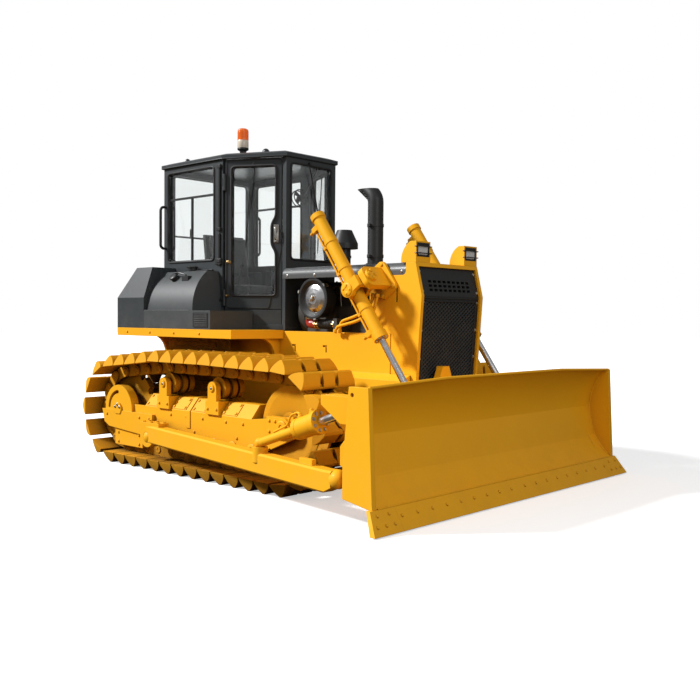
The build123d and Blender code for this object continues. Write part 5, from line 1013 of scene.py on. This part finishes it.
def makeEngineBay():
    look = bayLook
    x, y, z = look["filter"]
    form = bmesh.new()
    for turn in look["clips"]:
        angle = math.radians(turn)
        spoke = Vector((math.cos(angle), 0, math.sin(angle)))
        side = Vector((-math.sin(angle), 0, math.cos(angle)))
        foot = Vector((x, y + 0.052, z))
        near, far = look["rim"] - 0.002, look["rim"] + 0.012
        corners = ((near, -0.016), (far, -0.013), (far, 0.013), (near, 0.016))
        addPrism(form, [foot + spoke * r + side * w for r, w in corners], (0, -0.058, 0))
    addTurned(form, look["knob"], (x, y + 0.003, z), (0, -1, 0), 18)
    addTurned(form, look["wing"], (x, y - 0.011, z), (0.5, 0, 0.86), 10)
    finishForm(form, "filterClips", "chassis", zincSteel)

    form = bmesh.new()
    run = [(look["hoseX"], look["hoseY"], look["hoseTop"]), (look["hoseX"], look["hoseY"], look["hoseLow"]),
           (look["elbowEnd"], look["hoseY"], look["hoseLow"])]
    addTube(form, roundedRun(run, look["bend"], 9), look["hose"] * 0.93, 24, side=(0, 1, 0))
    elbow = finishForm(form, "intakeElbow", "chassis", redRubber)
    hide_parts("intake_hose")
    form = bmesh.new()
    length = look["hoseFront"] - look["elbowEnd"]
    size, cuff = look["hose"], look["cuff"]
    profile = [(size * 0.9, 0), (size * 0.9, cuff)]
    fold = (length - 2 * cuff) / look["folds"]
    for index in range(look["folds"]):
        profile += [(size * swell, cuff + (index + share) * fold) for share, swell in look["fold"]]
    profile += [(size * 0.84, length - cuff), (size * 0.9, length - 0.028), (size * 0.9, length)]
    addTurned(form, profile, (look["elbowEnd"], look["hoseY"], look["hoseLow"]), (1, 0, 0), 28)
    finishForm(form, "intakeBellows", "chassis", sealRubber)
    form = bmesh.new()
    for place, axis in (((look["hoseX"], look["hoseY"], look["hoseTop"] - 0.016), (0, 0, 1)),
                        ((look["elbowEnd"] - 0.014, look["hoseY"], look["hoseLow"]), (1, 0, 0)),
                        ((look["elbowEnd"] + 0.016, look["hoseY"], look["hoseLow"]), (1, 0, 0)),
                        ((look["hoseFront"] - 0.016, look["hoseY"], look["hoseLow"]), (1, 0, 0))):
        addBand(form, size * 0.88, size, 0.007, place, axis, 24)
        addTurned(form, [(0.006, -0.012), (0.006, 0.012)], Vector(place) + Vector((0, -size * 1.04, 0)), axis, 8)
    finishForm(form, "hoseClamps", "chassis", brassSteel)

    form = bmesh.new()
    for index in range(look["injectors"]):  # fuel pipes over the head
        px = 0.08 + 0.13 * index
        run = [(px, -0.125, 1.715), (px, -0.125, 1.748), (px, -0.176, 1.748), (px + 0.02, -0.176, 1.558)]
        addTube(form, roundedRun(run, 0.022), 0.005, 8)
        addTurned(form, [(0.011, 0), (0.011, 0.012), (0.008, 0.016)], (px, -0.125, 1.716), (0, 0, 1), 6)
        for side in (0.085, -0.085):
            addBolt(form, (px, side, 1.79), (0, 0, 1), 0.009)
    finishForm(form, "fuelPipes", "chassis", zincSteel)
    form = bmesh.new()
    for sign in (1, -1):  # flanged strip between the engine bay and the cab
        section = ((-0.152, 0.43), (-0.13, 0.43), (-0.13, 0.424), (-0.146, 0.424), (-0.146, 0.4), (-0.152, 0.4))
        addPrism(form, [(px, sign * py, 1.334) for px, py in section], (0, 0, 0.48))
    finishForm(form, "bayStrips", "chassis", greyPaint)


makeGrille()
makeLamps()
makeHoodDetails()
makeEngineBay()
print("front: grille mesh, lamps, hood and engine bay")


cabLook = {
    "sideX": (-1.73, -0.964), "windowZ": (2.01, 2.93), "rearHalf": 0.505, "frontHalf": 0.275, "corner": 0.045,
    "half": 0.615, "rear": -1.8, "front": -0.225, "seal": 0.0115, "sliderZ": 2.66, "barHalf": 0.011, "glassIn": 0.025,
    "sealFaces": (0.0, -0.048), "railZ": 2.3, "railY": (-0.53, 0.53), "rail": 0.01, "rod": 0.011,
    "rodPlace": (-0.872, 0.626), "rods": ((2.33, 2.93), (1.95, 2.27)), "clipZ": (2.92, 2.31, 2.0, 1.62),
    "lip": 0.0065, "lipReach": 0.02, "lipZ": 2.99, "lipHalf": (0.633, 0.345), "roofTop": 3.05,
    "domes": ((-0.56, -0.3, 0.036), (-1.62, 0.45, 0.03), (-1.62, -0.45, 0.03)), "roofRibs": (-1.5, -1.1, -0.7),
}
doorLook = {
    "start": (-0.834, 0.615), "along": (0.8940, -0.4480), "leaf": (0.0298, 0.619), "leafZ": (1.53, 2.979),
    "thick": 0.046,
    "pane": ((0.0918, 1.66), (0.557, 1.66), (0.557, 2.08), (0.511, 2.15), (0.511, 2.35), (0.557, 2.42), (0.557, 2.909),
             (0.0918, 2.909)), "corner": 0.042, "paneSeal": 0.0125, "seam": 0.0055, "gripAlong": 0.56, "grip": 0.009,
    "plate": ((0.535, 2.17), (0.585, 2.17), (0.585, 2.34), (0.535, 2.34)),
    "gripRun": ((2.195, 0.004), (2.2, 0.026), (2.31, 0.03), (2.318, 0.004)),
    "catches": ((0.075, 1.985, 0.02), (0.06, 1.66, 0.014)),
    "wiperArm": ((0.33, 2.93), (0.33, 2.86), (0.255, 2.36)), "wiperBlade": ((0.275, 2.68), (0.235, 2.12)),
}
fanLook = {"place": (-0.5, 0.12, 2.66), "aim": (-0.8, 0.1, -0.15), "guards": (0.0, 0.045), "radius": 0.085,
           "wire": 0.006, "blades": 5, "arm": 0.009,
           "motor": ((0.028, 0.0), (0.032, 0.03), (0.03, 0.07), (0.018, 0.082))}


def onDoor(sign, along, z, out=0.0):  # a place on the door's outer face, the cab's slanted side
    (x, y), (dx, dy) = doorLook["start"], doorLook["along"]
    return Vector((x + dx * along - dy * out, sign * (y + dy * along + dx * out), z))


def windowLoop(low, high, place):  # rounded window outline; place turns the panel's two lengths into a point
    corners = [(low[0], low[1]), (high[0], low[1]), (high[0], high[1]), (low[0], high[1])]
    flat = roundedRun([(a, 0, b) for a, b in corners], cabLook["corner"], 6, True)
    return [place(point.x, point.z) for point in flat]


def makeWindowSeals():
    look = cabLook
    z0, z1 = look["windowZ"]
    form = bmesh.new()
    for sign in (1, -1):
        x0, x1 = look["sideX"]
        for out in look["sealFaces"]:
            loop = windowLoop((x0, z0), (x1, z1), lambda a, b: (a, sign * (look["half"] + out), b))
            addTube(form, loop, look["seal"], 8, True, (0, 1, 0))
    for half, x in ((look["rearHalf"], look["rear"]), (look["frontHalf"], look["front"])):
        addTube(form, windowLoop((-half, z0), (half, z1), lambda a, b: (x, a, b)), look["seal"], 8, True, (1, 0, 0))
    finishForm(form, "windowSeals", "chassis", sealRubber)

    form = bmesh.new()
    bar = look["barHalf"]
    for sign in (1, -1):  # sliding panes: a rail across, and an upright under it
        x0, x1 = look["sideX"]
        y = sign * (look["half"] - look["glassIn"])
        middle = (x0 + x1) / 2
        for (xa, za), (xb, zb) in (((x0, look["sliderZ"] - bar), (x1, look["sliderZ"] + bar)),
                                   ((middle - bar, z0), (middle + bar, look["sliderZ"] - bar)),
                                   ((middle - 0.03, 2.26), (middle - 0.012, 2.34)), ((x0, z0), (x1, z0 + 0.016))):
            outline = [(xa, y - 0.012, za), (xb, y - 0.012, za), (xb, y - 0.012, zb), (xa, y - 0.012, zb)]
            addPrism(form, outline, (0, 0.024, 0))
    rail = [(look["rear"] - 0.012, y, look["railZ"]) for y in look["railY"]]  # guards the rear window
    addTube(form, rail, look["rail"], 10, side=(0, 0, 1))
    for y in look["railY"]:
        addTurned(form, [(0.02, 0), (0.02, 0.01), (0.012, 0.014)], (look["rear"], y, look["railZ"]), (-1, 0, 0), 12)
    finishForm(form, "sliderBars", "chassis", blackPaint, bevel=0.002)


def makeDoorTrim():
    for name, sign in (("left", 1), ("right", -1)):
        body = name + "_door"
        flat = roundedRun([(a, 0, b) for a, b in doorLook["pane"]], doorLook["corner"], 6, True)
        form = bmesh.new()
        for out in (0.0, -doorLook["thick"]):
            addTube(form, [onDoor(sign, point.x, point.z, out) for point in flat], doorLook["paneSeal"], 8, True,
                    (0, 0, 1))
        finishForm(form, "paneSeal_" + name, body, sealRubber)
        form = bmesh.new()
        start, end = doorLook["leaf"]
        low, high = doorLook["leafZ"]
        border = [(start + 0.012, low + 0.01), (0.487, low + 0.01), (end - 0.008, 2.1), (end - 0.008, high - 0.012),
                  (start + 0.012, high - 0.012)]
        loop = roundedRun([(a, 0, b) for a, b in border], 0.03, 4, True)
        addTube(form, [onDoor(sign, point.x, point.z, 0.0005) for point in loop], doorLook["seam"], 6, True,
                (0, 0, 1))
        finishForm(form, "doorSeam_" + name, body, sealRubber)

        form = bmesh.new()  # paddle handle in its plate, beside the notch of the pane
        plate = [onDoor(sign, a, b, -0.001) for a, b in doorLook["plate"]]
        push = (onDoor(sign, 0, 0, 0.006) - onDoor(sign, 0, 0, 0))
        addPrism(form, plate, push)
        along = doorLook["gripAlong"]
        grip = [onDoor(sign, along, b, out) for b, out in doorLook["gripRun"]]
        addTube(form, roundedRun(grip, 0.018), doorLook["grip"], 10, side=(1, 0, 0))
        addTurned(form, [(0.012, 0), (0.012, 0.004), (0.007, 0.006)], onDoor(sign, along, 2.182, 0.004), push, 14)
        finishForm(form, "doorHandle_" + name, body, zincSteel, bevel=0.0015)

        form = bmesh.new()  # catch at the hinge side and a lower hold-open block
        for a, b, size in doorLook["catches"]:
            knob = [(size, -0.001), (size, 0.012), (size * 0.72, 0.018), (size * 0.5, 0.03), (size * 0.7, 0.034),
                    (size * 0.7, 0.044), (size * 0.4, 0.048)]
            addTurned(form, knob, onDoor(sign, a, b, 0), push, 18)
        finishForm(form, "doorCatch_" + name, body, brassSteel)
        form = bmesh.new()
        addWiper(form, [onDoor(sign, a, b, -0.008) for a, b in doorLook["wiperArm"]],
                 [onDoor(sign, a, b, -0.014) for a, b in doorLook["wiperBlade"]])
        finishForm(form, "doorWiper_" + name, body, blackPaint)


def addWiper(form, arm, blade):
    addTube(form, arm, [0.009] + [0.006] * (len(arm) - 2) + [0.004], 8)
    addTube(form, [Vector(blade[0]) * (1 - share) + Vector(blade[1]) * share for share in (0, 0.1, 0.5, 0.9, 1)],
            [0.003, 0.0065, 0.0075, 0.0065, 0.003], 8)
    addTurned(form, [(0.02, -0.01), (0.02, 0.006), (0.013, 0.012)], arm[0], Vector(arm[0]) - Vector(arm[1]), 14)


def makeCabFittings():
    look = cabLook
    form = bmesh.new()
    x = look["front"] - 0.012
    addWiper(form, [(look["front"] + 0.012, -0.03, 2.95), (x + 0.02, -0.03, 2.9), (x + 0.004, 0.12, 2.42)],
             [(x, 0.02, 2.74), (x, 0.18, 2.24)])
    finishForm(form, "frontWiper", "chassis", blackPaint)
    form = bmesh.new()
    x, y = look["rodPlace"]
    for sign in (1, -1):  # upright rod on the hinge pillar with its clips
        for heights in look["rods"]:
            addTube(form, [(x, sign * y, z) for z in heights], look["rod"], 10, side=(1, 0, 0))
        for z in look["clipZ"]:
            addSideBlock(form, sign, (-0.9, 0.61, z - 0.018), (-0.848, 0.64, z + 0.018))
        addSideBlock(form, sign, (-0.93, 0.612, 1.965), (-0.84, 0.634, 2.025))
    finishForm(form, "pillarRods", "chassis", blackPaint, bevel=0.003)

    form = bmesh.new()  # rain lip round the roof
    wide, narrow = look["lipHalf"]
    x0, x1 = look["rear"] - look["lipReach"], look["front"] + look["lipReach"] - 0.004
    xk = doorLook["start"][0]
    outline = [(x0, -wide), (xk, -wide), (x1, -narrow), (x1, narrow), (xk, wide), (x0, wide)]
    lip = roundedRun([(x, y, look["lipZ"]) for x, y in outline], 0.02, 3, True)
    addTube(form, lip, look["lip"], 8, True, (0, 0, 1))
    finishForm(form, "roofLip", "chassis", greyPaint)
    form = bmesh.new()
    for x, y, size in look["domes"]:
        dome = [(size * 1.25, -0.004), (size * 1.25, 0.008), (size, 0.012), (size * 0.92, 0.03), (size * 0.6, 0.044),
                (size * 0.2, 0.05)]
        addTurned(form, dome, (x, y, look["roofTop"]), (0, 0, 1), 24)
    for x in look["roofRibs"]:  # pressed ribs across the roof
        addPrism(form, roundedRun(levelPanel(x - 0.03, -0.2, x + 0.03, 0.2, 3.049), 0.028, 4, True), (0, 0, 0.009))
    finishForm(form, "roofFittings", "chassis", greyPaint)

    form = bmesh.new()  # small fan in the cab's far front corner
    centre, aim = Vector(fanLook["place"]), Vector(fanLook["aim"]).normalized()
    side = aim.cross(Vector((0, 0, 1))).normalized()
    up = side.cross(aim)
    for reach in fanLook["guards"]:
        ring = [centre + aim * reach + spoke * fanLook["radius"] for spoke in spokesRound(side, up, 24)]
        addTube(form, ring, fanLook["wire"], 6, True)
    for spoke in spokesRound(side, up, fanLook["blades"]):
        cross = aim.cross(spoke)
        addPrism(form, [centre + spoke * 0.015 - cross * 0.012, centre + spoke * 0.075 - cross * 0.03,
                        centre + spoke * 0.078 + cross * 0.02, centre + spoke * 0.015 + cross * 0.012],
                 aim * 0.006 + cross * 0.004)
    addTurned(form, fanLook["motor"], centre - aim * 0.03, aim, 18)
    arm = [centre - aim * 0.02, centre - aim * 0.07 + up * 0.03, (-0.36, 0.2, 2.92), (-0.34, 0.2, 2.984)]
    addTube(form, roundedRun(arm, 0.04), fanLook["arm"], 8)
    finishForm(form, "cabFan", "chassis", blackPaint)


beaconLook = {
    "place": (-0.905, -0.3), "split": 3.222, "top": 3.34, "grooves": 6, "boltRing": (0.052, 4), "bolt": 0.006,
    "foot": ((0.062, 3.05), (0.062, 3.056), (0.05, 3.066), (0.034, 3.078), (0.03, 3.084), (0.03, 3.1), (0.033, 3.102),
             (0.033, 3.112), (0.04, 3.118), (0.056, 3.128), (0.0565, 3.142), (0.054, 3.146)),
    "dome": ((0.055, 3.311), (0.0525, 3.322), (0.046, 3.332), (0.034, 3.338), (0.014, 3.34)),
}


def makeBeacon():
    look = beaconLook
    x, y = look["place"]
    origin = (x, y, 0)
    form = bmesh.new()
    addTurned(form, look["foot"], origin, (0, 0, 1), 32)
    for place, normal in ringPlaces((x, y, 3.055), (0, 0, 1), *look["boltRing"]):
        addBolt(form, place, normal, look["bolt"])
    finishForm(form, "beaconFoot", "chassis", blackPaint)
    form = bmesh.new()
    collar = [(0.054, 3.145), (0.056, 3.149), (0.0555, 3.2), (0.0545, look["split"] - 0.002), (0.053, look["split"])]
    addTurned(form, collar, origin, (0, 0, 1), 40)
    finishForm(form, "beaconCollar", "chassis", paleLens)
    form = bmesh.new()
    profile = [(0.053, look["split"] + 0.0003), (0.0555, look["split"] + 0.004)]
    height = look["top"] - 0.03 - look["split"] - 0.006
    for index in range(look["grooves"]):
        z = look["split"] + 0.006 + index * height / look["grooves"]
        pitch = height / look["grooves"]
        profile += [(0.0555, z), (0.0555, z + pitch * 0.6), (0.0535, z + pitch * 0.75)]
    profile += look["dome"]
    addTurned(form, profile, origin, (0, 0, 1), 40)
    lens = finishForm(form, "beaconLens", "chassis", orangeLens)
    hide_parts("beacon")


dashLook = {"slope": ((-0.425, 1.9), (-0.375, 2.0)), "marks": 9, "markSpan": (0.62, 0.78),
            "dials": ((-0.15, 0.036), (-0.06, 0.042), (0.05, 0.042), (0.15, 0.036))}


def makeDash():
    form = bmesh.new()
    (x0, z0), (x1, z1) = dashLook["slope"]
    normal = Vector((z0 - z1, 0, x1 - x0)).normalized()
    middle = Vector(((x0 + x1) / 2, 0, (z0 + z1) / 2))
    for y, radius in dashLook["dials"]:
        spot = middle + Vector((0, y, 0))
        bezel = [(radius, -0.002), (radius, 0.008), (radius * 0.9, 0.01), (radius * 0.84, 0.004)]
        addTurned(form, bezel, spot, normal, 28)
        tip = Vector((normal.z, 0, -normal.x)) * radius * 0.6 + Vector((0, radius * 0.3, 0))
        addTube(form, [spot + normal * 0.006 - tip * 0.2, spot + normal * 0.006 + tip], 0.0022, 6)
        for index in range(dashLook["marks"]):
            angle = math.radians(-30 + index * 30)
            spoke = Vector((0, 1, 0)) * math.cos(angle) - Vector((normal.z, 0, -normal.x)) * math.sin(angle)
            mark = [spot + normal * 0.0055 + spoke * radius * share for share in dashLook["markSpan"]]
            addTube(form, mark, 0.0016, 5)
    finishForm(form, "dashDials", "chassis", zincSteel)


makeWindowSeals()
makeDoorTrim()
makeCabFittings()
makeBeacon()
makeDash()
print("cab: seals, sliders, door trim, wipers, beacon and dials")


padLook = {
    "pan": {"low": (-1.368, -0.246, 1.682), "high": (-1.0, 0.246, 1.778), "voxel": 0.006, "cap": 0.009,
            "grooves": ((1, -0.12), (1, 0.12), (0, -1.06))},
    "back": {"foot": (-1.4635, -1.39), "head": (-1.548, -1.482), "z": (1.69, 2.308), "half": 0.246, "voxel": 0.007,
             "cap": 0.009, "grooves": ((2, 1.9), (2, 2.1))},
    "pressure": 4.0, "frames": 20, "groove": 0.008, "grooveWidth": 0.011, "seatZ": 1.6808, "halfRoom": 0.2535,
    "panRoom": (-1.379, -0.9905), "backTop": 2.3195, "backThick": 0.0893, "edge": 0.024,
}


def padShell(name):  # rounded block of the pad before it is blown up
    form = bmesh.new()
    if name == "pan":
        addBlock(form, padLook["pan"]["low"], padLook["pan"]["high"])
    else:
        look = padLook["back"]
        z0, z1 = look["z"]
        outline = [(look["foot"][0], z0), (look["foot"][1], z0), (look["head"][1], z1), (look["head"][0], z1)]
        addPrism(form, [(x, -look["half"], z) for x, z in outline], (0, 2 * look["half"], 0))
    bmesh.ops.recalc_face_normals(form, faces=form.faces)
    bmesh.ops.bevel(form, geom=form.edges[:], offset=padLook["edge"], segments=4, affect="EDGES", profile=0.5)
    mesh = bpy.data.meshes.new("padShell_" + name)
    form.to_mesh(mesh)
    form.free()
    shell = bpy.data.objects.new("padShell_" + name, mesh)
    bpy.context.scene.collection.objects.link(shell)
    remesh = shell.modifiers.new("even", "REMESH")
    remesh.mode = "VOXEL"
    remesh.voxel_size = padLook[name]["voxel"]
    even = bpy.data.meshes.new_from_object(shell.evaluated_get(bpy.context.evaluated_depsgraph_get()))
    bpy.data.objects.remove(shell)
    even.name = "seatPad_" + name
    pad = bpy.data.objects.new("seatPad_" + name, even)
    bpy.context.scene.collection.objects.link(pad)
    return pad


def makeSeatPads():
    pads = {name: padShell(name) for name in ("pan", "back")}
    scene = bpy.context.scene
    rest = {name: [vert.co.copy() for vert in pad.data.vertices] for name, pad in pads.items()}
    for pad in pads.values():
        cloth = pad.modifiers.new("cloth", "CLOTH")
        cloth.settings.use_pressure = True
        cloth.settings.uniform_pressure_force = padLook["pressure"]
        cloth.settings.effector_weights.gravity = 0
        cloth.settings.quality = 4
        cloth.collision_settings.use_collision = False
    for step in range(1, padLook["frames"] + 1):
        scene.frame_set(step)
    graph = bpy.context.evaluated_depsgraph_get()
    for name, pad in pads.items():
        swollen = [vert.co.copy() for vert in pad.evaluated_get(graph).data.vertices]
        pad.modifiers.clear()
        for vert, start, end in zip(pad.data.vertices, rest[name], swollen):
            move = end - start
            reach = min(move.length, padLook[name]["cap"])
            vert.co = start + move.normalized() * reach if move.length else start
    scene.frame_set(1)
    for name, pad in pads.items():
        for vert in pad.data.vertices:  # sewn channels, then flat where the pad rests
            normal = vert.normal
            for axis, place in padLook[name]["grooves"]:
                gap = (vert.co[axis] - place) / padLook["grooveWidth"]
                if abs(gap) < 3 and abs(normal[axis]) < 0.6:
                    vert.co -= normal * padLook["groove"] * math.exp(-gap * gap)
            vert.co.z = max(vert.co.z, padLook["seatZ"])
            if name == "pan":
                near, far = padLook["panRoom"]
            else:
                vert.co.z = min(vert.co.z, padLook["backTop"])
                near = -1.4695 - (vert.co.z - 1.68) * 0.09 / 0.64  # the leaning back shell
                far = near + padLook["backThick"]
            vert.co.x = min(max(vert.co.x, near), far)
            vert.co.y = min(max(vert.co.y, -padLook["halfRoom"]), padLook["halfRoom"])
        pad.data.shade_smooth()
        pad.data.materials.clear()
        pad.data.materials.append(seatVinyl)
        smooth = pad.modifiers.new("smooth", "SUBSURF")
        smooth.levels = smooth.render_levels = 1
        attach(pad, "chassis")
    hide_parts("seat_pads")


makeSeatPads()
print("seat pads blown up by cloth")


rearLook = {
    "tankRear": -2.079, "half": 1.0, "lampY": 0.82, "lampZ": 1.48, "lampHalf": (0.115, 0.06), "lampGap": 0.055,
    "panel": (0.56, 1.4, 1.6), "hingeZ": (1.43, 1.57), "boltZ": 1.293, "boltX": (-1.9, -1.5, -1.1, -0.7), "bolt": 0.011,
    "boxTop": 1.51, "boxX": (-1.6, -0.86), "boxY": (0.985, 1.0), "treads": 6, "treadX": (-0.775, -0.58),
    "latch": ((0.02, 0), (0.02, 0.01), (0.012, 0.012), (0.009, 0.018)),
    "lens": ((0.044, 0.006), (0.044, 0.016), (0.04, 0.021), (0.024, 0.025), (0.008, 0.0262)),
}


def framedPanel(form, low, high, place, push, corner=0.03):  # raised door panel with a rounded border
    corners = [(low[0], 0, low[1]), (high[0], 0, low[1]), (high[0], 0, high[1]), (low[0], 0, high[1])]
    run = roundedRun(corners, corner, 5, True)
    push = Vector(push)
    centre = Vector(((low[0] + high[0]) / 2, 0, (low[1] + high[1]) / 2))
    rings = []
    for share, rise in ((1.0, -0.1), (1.0, 0.7), (0.985, 1.0), (0.96, 1.0), (0.955, 0.55)):
        shrunk = [(point - centre) * share + centre for point in run]
        rings.append([Vector(place(point.x, point.z)) + push * rise for point in shrunk])
    addLoft(form, rings)


def makeRear():
    look = rearLook
    rear = look["tankRear"]
    form = bmesh.new()
    half, low, high = look["panel"]
    framedPanel(form, (-half, low), (half, high), lambda a, b: (rear, a, b), (-0.008, 0, 0))
    finishForm(form, "tankPanel", "chassis", greyPaint)
    form = bmesh.new()
    for sign in (1, -1):
        for z in look["hingeZ"]:
            addTurned(form, [(0.012, -0.035), (0.012, 0.035)], (rear - 0.008, sign * (half + 0.012), z), (0, 0, 1), 12)
        addTurned(form, look["latch"], (rear - 0.008, sign * 0.06, 1.56), (-1, 0, 0), 16)
    finishForm(form, "panelHinges", "chassis", blackPaint)
    shells, lights, glows = bmesh.new(), bmesh.new(), bmesh.new()
    for sign in (1, -1):  # rear lamp pairs in their housings
        y, z = sign * look["lampY"], look["lampZ"]
        wide, tall = look["lampHalf"]
        framedPanel(shells, (y - wide, z - tall), (y + wide, z + tall), lambda a, b: (rear, a, b), (-0.014, 0, 0), 0.02)
        for shift, target in ((-look["lampGap"], lights), (look["lampGap"], glows)):
            addTurned(target, look["lens"], (rear, y + sign * shift, z), (-1, 0, 0), 28)
    finishForm(shells, "rearLampShells", "chassis", blackPaint)
    finishForm(lights, "rearLampsRed", "chassis", redLens)
    finishForm(glows, "rearLampsClear", "chassis", paleLens)
    places = [((x, look["half"], look["boltZ"]), (0, 1, 0)) for x in look["boltX"]]
    boltSet("fenderBolts", mirrored(places), look["bolt"], "chassis", yellowPaint)

    form = bmesh.new()
    for sign in (1, -1):
        (x0, x1), (y0, y1) = look["boxX"], look["boxY"]
        addPrism(form, levelPanel(x0, sign * y0, x1, sign * y1, look["boxTop"]), (0, 0, 0.006))
    finishForm(form, "boxEdges", "chassis", litBoxPaint, bevel=0.002)
    form = bmesh.new()
    for sign in (1, -1):  # ribbed tread plate at the front of each side box
        framedPanel(form, (-0.79, 1.352), (-0.565, 1.492), lambda a, b: (a, sign * look["half"], b),
                    (0, sign * 0.006, 0), 0.012)
        for index in range(look["treads"]):
            z = 1.37 + 0.021 * index
            addTube(form, [(x, sign * 1.004, z) for x in look["treadX"]], 0.004, 6, side=(0, 1, 0))
    finishForm(form, "stepPlates", "chassis", sealRubber)


tankLook = {
    "neck": (-1.2225, 0.6825, 1.9), "flap": (-1.06, 0.66, 1.9), "flapHalf": (0.1, 0.04), "grips": 12, "gripRing": 0.053,
    "cap": ((0.048, 0.0), (0.048, 0.036), (0.053, 0.037), (0.053, 0.05), (0.046, 0.056), (0.02, 0.058), (0.016, 0.053)),
    "sideCap": ((0.042, -0.02), (0.042, 0.012), (0.047, 0.014), (0.047, 0.03), (0.04, 0.036), (0.016, 0.038)),
}


def makeTankFittings():
    look = tankLook
    form = bmesh.new()
    for sign in (1, -1):
        x, y, z = look["neck"]
        y *= sign
        addTurned(form, look["cap"], (x, y, z), (0, 0, 1), 28)
        for spoke in spokesRound(Vector((1, 0, 0)), Vector((0, 1, 0)), look["grips"]):
            grip = [Vector((x, y, z + rise)) + spoke * look["gripRing"] for rise in (0.038, 0.049)]
            addTube(form, grip, 0.0045, 6)
        x, y, z = look["flap"]
        y *= sign
        long, wide = look["flapHalf"]
        low = levelPanel(x - long, y - wide, x + long, y + wide, z - 0.001)
        addPrism(form, roundedRun(low, 0.016, 4, True), (0, 0, 0.014))
        hinge = [(x + step, y - sign * 0.038, z + 0.014) for step in (-0.08, 0.08)]
        addTube(form, hinge, 0.008, 10, side=(0, 0, 1))
        face, lean = Vector((-1.3, sign * 0.838, 1.832)), Vector((0, sign * 0.72, 0.69))
        addTurned(form, look["sideCap"], face, lean, 24)
        addSideBlock(form, sign, (-1.16, 0.8, 1.79), (-1.06, 0.86, 1.85))
        run = [(-1.3, sign * 0.845, 1.875), (-1.24, sign * 0.85, 1.888), (-1.12, sign * 0.84, 1.862),
               (-1.11, sign * 0.83, 1.84)]
        addTube(form, roundedRun(run, 0.03), 0.008, 8)
    finishForm(form, "fillerCaps", "chassis", blackPaint)


makeRear()
makeTankFittings()
print("rear: tank panel, lamps and caps")


floorLook = {"half": 60.0, "colour": (0.92, 0.92, 0.92, 1), "bounce": (0.1, 0.08, 0.055, 1), "lift": 0.5,
             "roughness": 0.85}


def seenRays(tree):  # 1 for what the camera sees directly or through a window
    path = addNode(tree, "ShaderNodeLightPath")
    return maths(tree, "MAXIMUM", path.outputs["Is Camera Ray"], path.outputs["Is Transmission Ray"])


def makeFloor():
    mesh = bpy.data.meshes.new("floor")
    half = floorLook["half"]
    mesh.from_pydata([(-half, -half, 0), (half, -half, 0), (half, half, 0), (-half, half, 0)], [], [(0, 1, 2, 3)])
    material, tree, shader = startMaterial("paleFloor", Roughness=floorLook["roughness"],
                                           Base_Color=floorLook["colour"], Emission_Color=(1, 1, 1, 1),
                                           Emission_Strength=floorLook["lift"], Specular_IOR_Level=0.0)
    dull = addNode(tree, "ShaderNodeBsdfDiffuse")
    setInputs(dull, Color=floorLook["bounce"])
    blend = addNode(tree, "ShaderNodeMixShader")
    tree.links.new(seenRays(tree), blend.inputs[0])
    tree.links.new(dull.outputs[0], blend.inputs[1])
    tree.links.new(shader.outputs[0], blend.inputs[2])
    tree.links.new(blend.outputs[0], tree.nodes["Material Output"].inputs["Surface"])
    mesh.materials.append(material)
    floor = bpy.data.objects.new("floor", mesh)
    bpy.context.scene.collection.objects.link(floor)


lightLook = {"sky": 0.27, "backdrop": 1.0, "key": {"from": (-0.62, -0.62, 0.62), "strength": 4.7, "spread": 7.0},
             "fill": {"place": (9.0, -4.0, 5.0), "aim": (1.6, 0.0, 0.6), "size": 6.0, "power": 300.0}}


def makeLights():
    world = bpy.data.worlds.new("studio")
    world.use_nodes = True
    tree = world.node_tree
    sky = tree.nodes["Background"]
    setInputs(sky, Color=(1, 1, 1, 1))
    seen = seenRays(tree)
    tree.links.new(ramp(tree, seen, 0.0, 1.0, (lightLook["sky"], lightLook["backdrop"])), sky.inputs["Strength"])
    bpy.context.scene.world = world
    key = bpy.data.lights.new("key", "SUN")
    key.energy = lightLook["key"]["strength"]
    key.angle = math.radians(lightLook["key"]["spread"])
    lamp = bpy.data.objects.new("key", key)
    lamp.rotation_euler = (-Vector(lightLook["key"]["from"])).to_track_quat("-Z", "Y").to_euler()
    bpy.context.scene.collection.objects.link(lamp)
    look = lightLook["fill"]
    data = bpy.data.lights.new("fill", "AREA")
    data.size = look["size"]
    data.energy = look["power"]
    lamp = bpy.data.objects.new("fill", data)
    lamp.location = look["place"]
    aim = Vector(look["aim"]) - Vector(look["place"])
    lamp.rotation_euler = aim.to_track_quat("-Z", "Y").to_euler()
    bpy.context.scene.collection.objects.link(lamp)


cameraLook = {"place": (6.068, -6.168, 1.462), "heading": 43.04, "down": 2.117, "roll": 0.494,
              "focalPixels": 894.4, "imageWidth": 700, "sensor": 36.0}


def makeCamera():
    data = bpy.data.cameras.new("camera")
    data.sensor_width = cameraLook["sensor"]
    data.lens = cameraLook["focalPixels"] / cameraLook["imageWidth"] * cameraLook["sensor"]
    camera = bpy.data.objects.new("camera", data)
    turn = Matrix.Rotation(math.radians(cameraLook["heading"]), 4, "Z")
    tip = Matrix.Rotation(math.radians(90 - cameraLook["down"]), 4, "X")
    roll = Matrix.Rotation(math.radians(cameraLook["roll"]), 4, "Z")
    camera.matrix_world = Matrix.Translation(cameraLook["place"]) @ turn @ tip @ roll
    bpy.context.scene.collection.objects.link(camera)
    bpy.context.scene.camera = camera


makeFloor()
makeLights()
makeCamera()
bpy.context.scene.view_settings.view_transform = "Standard"
print("floor, lights and camera set")
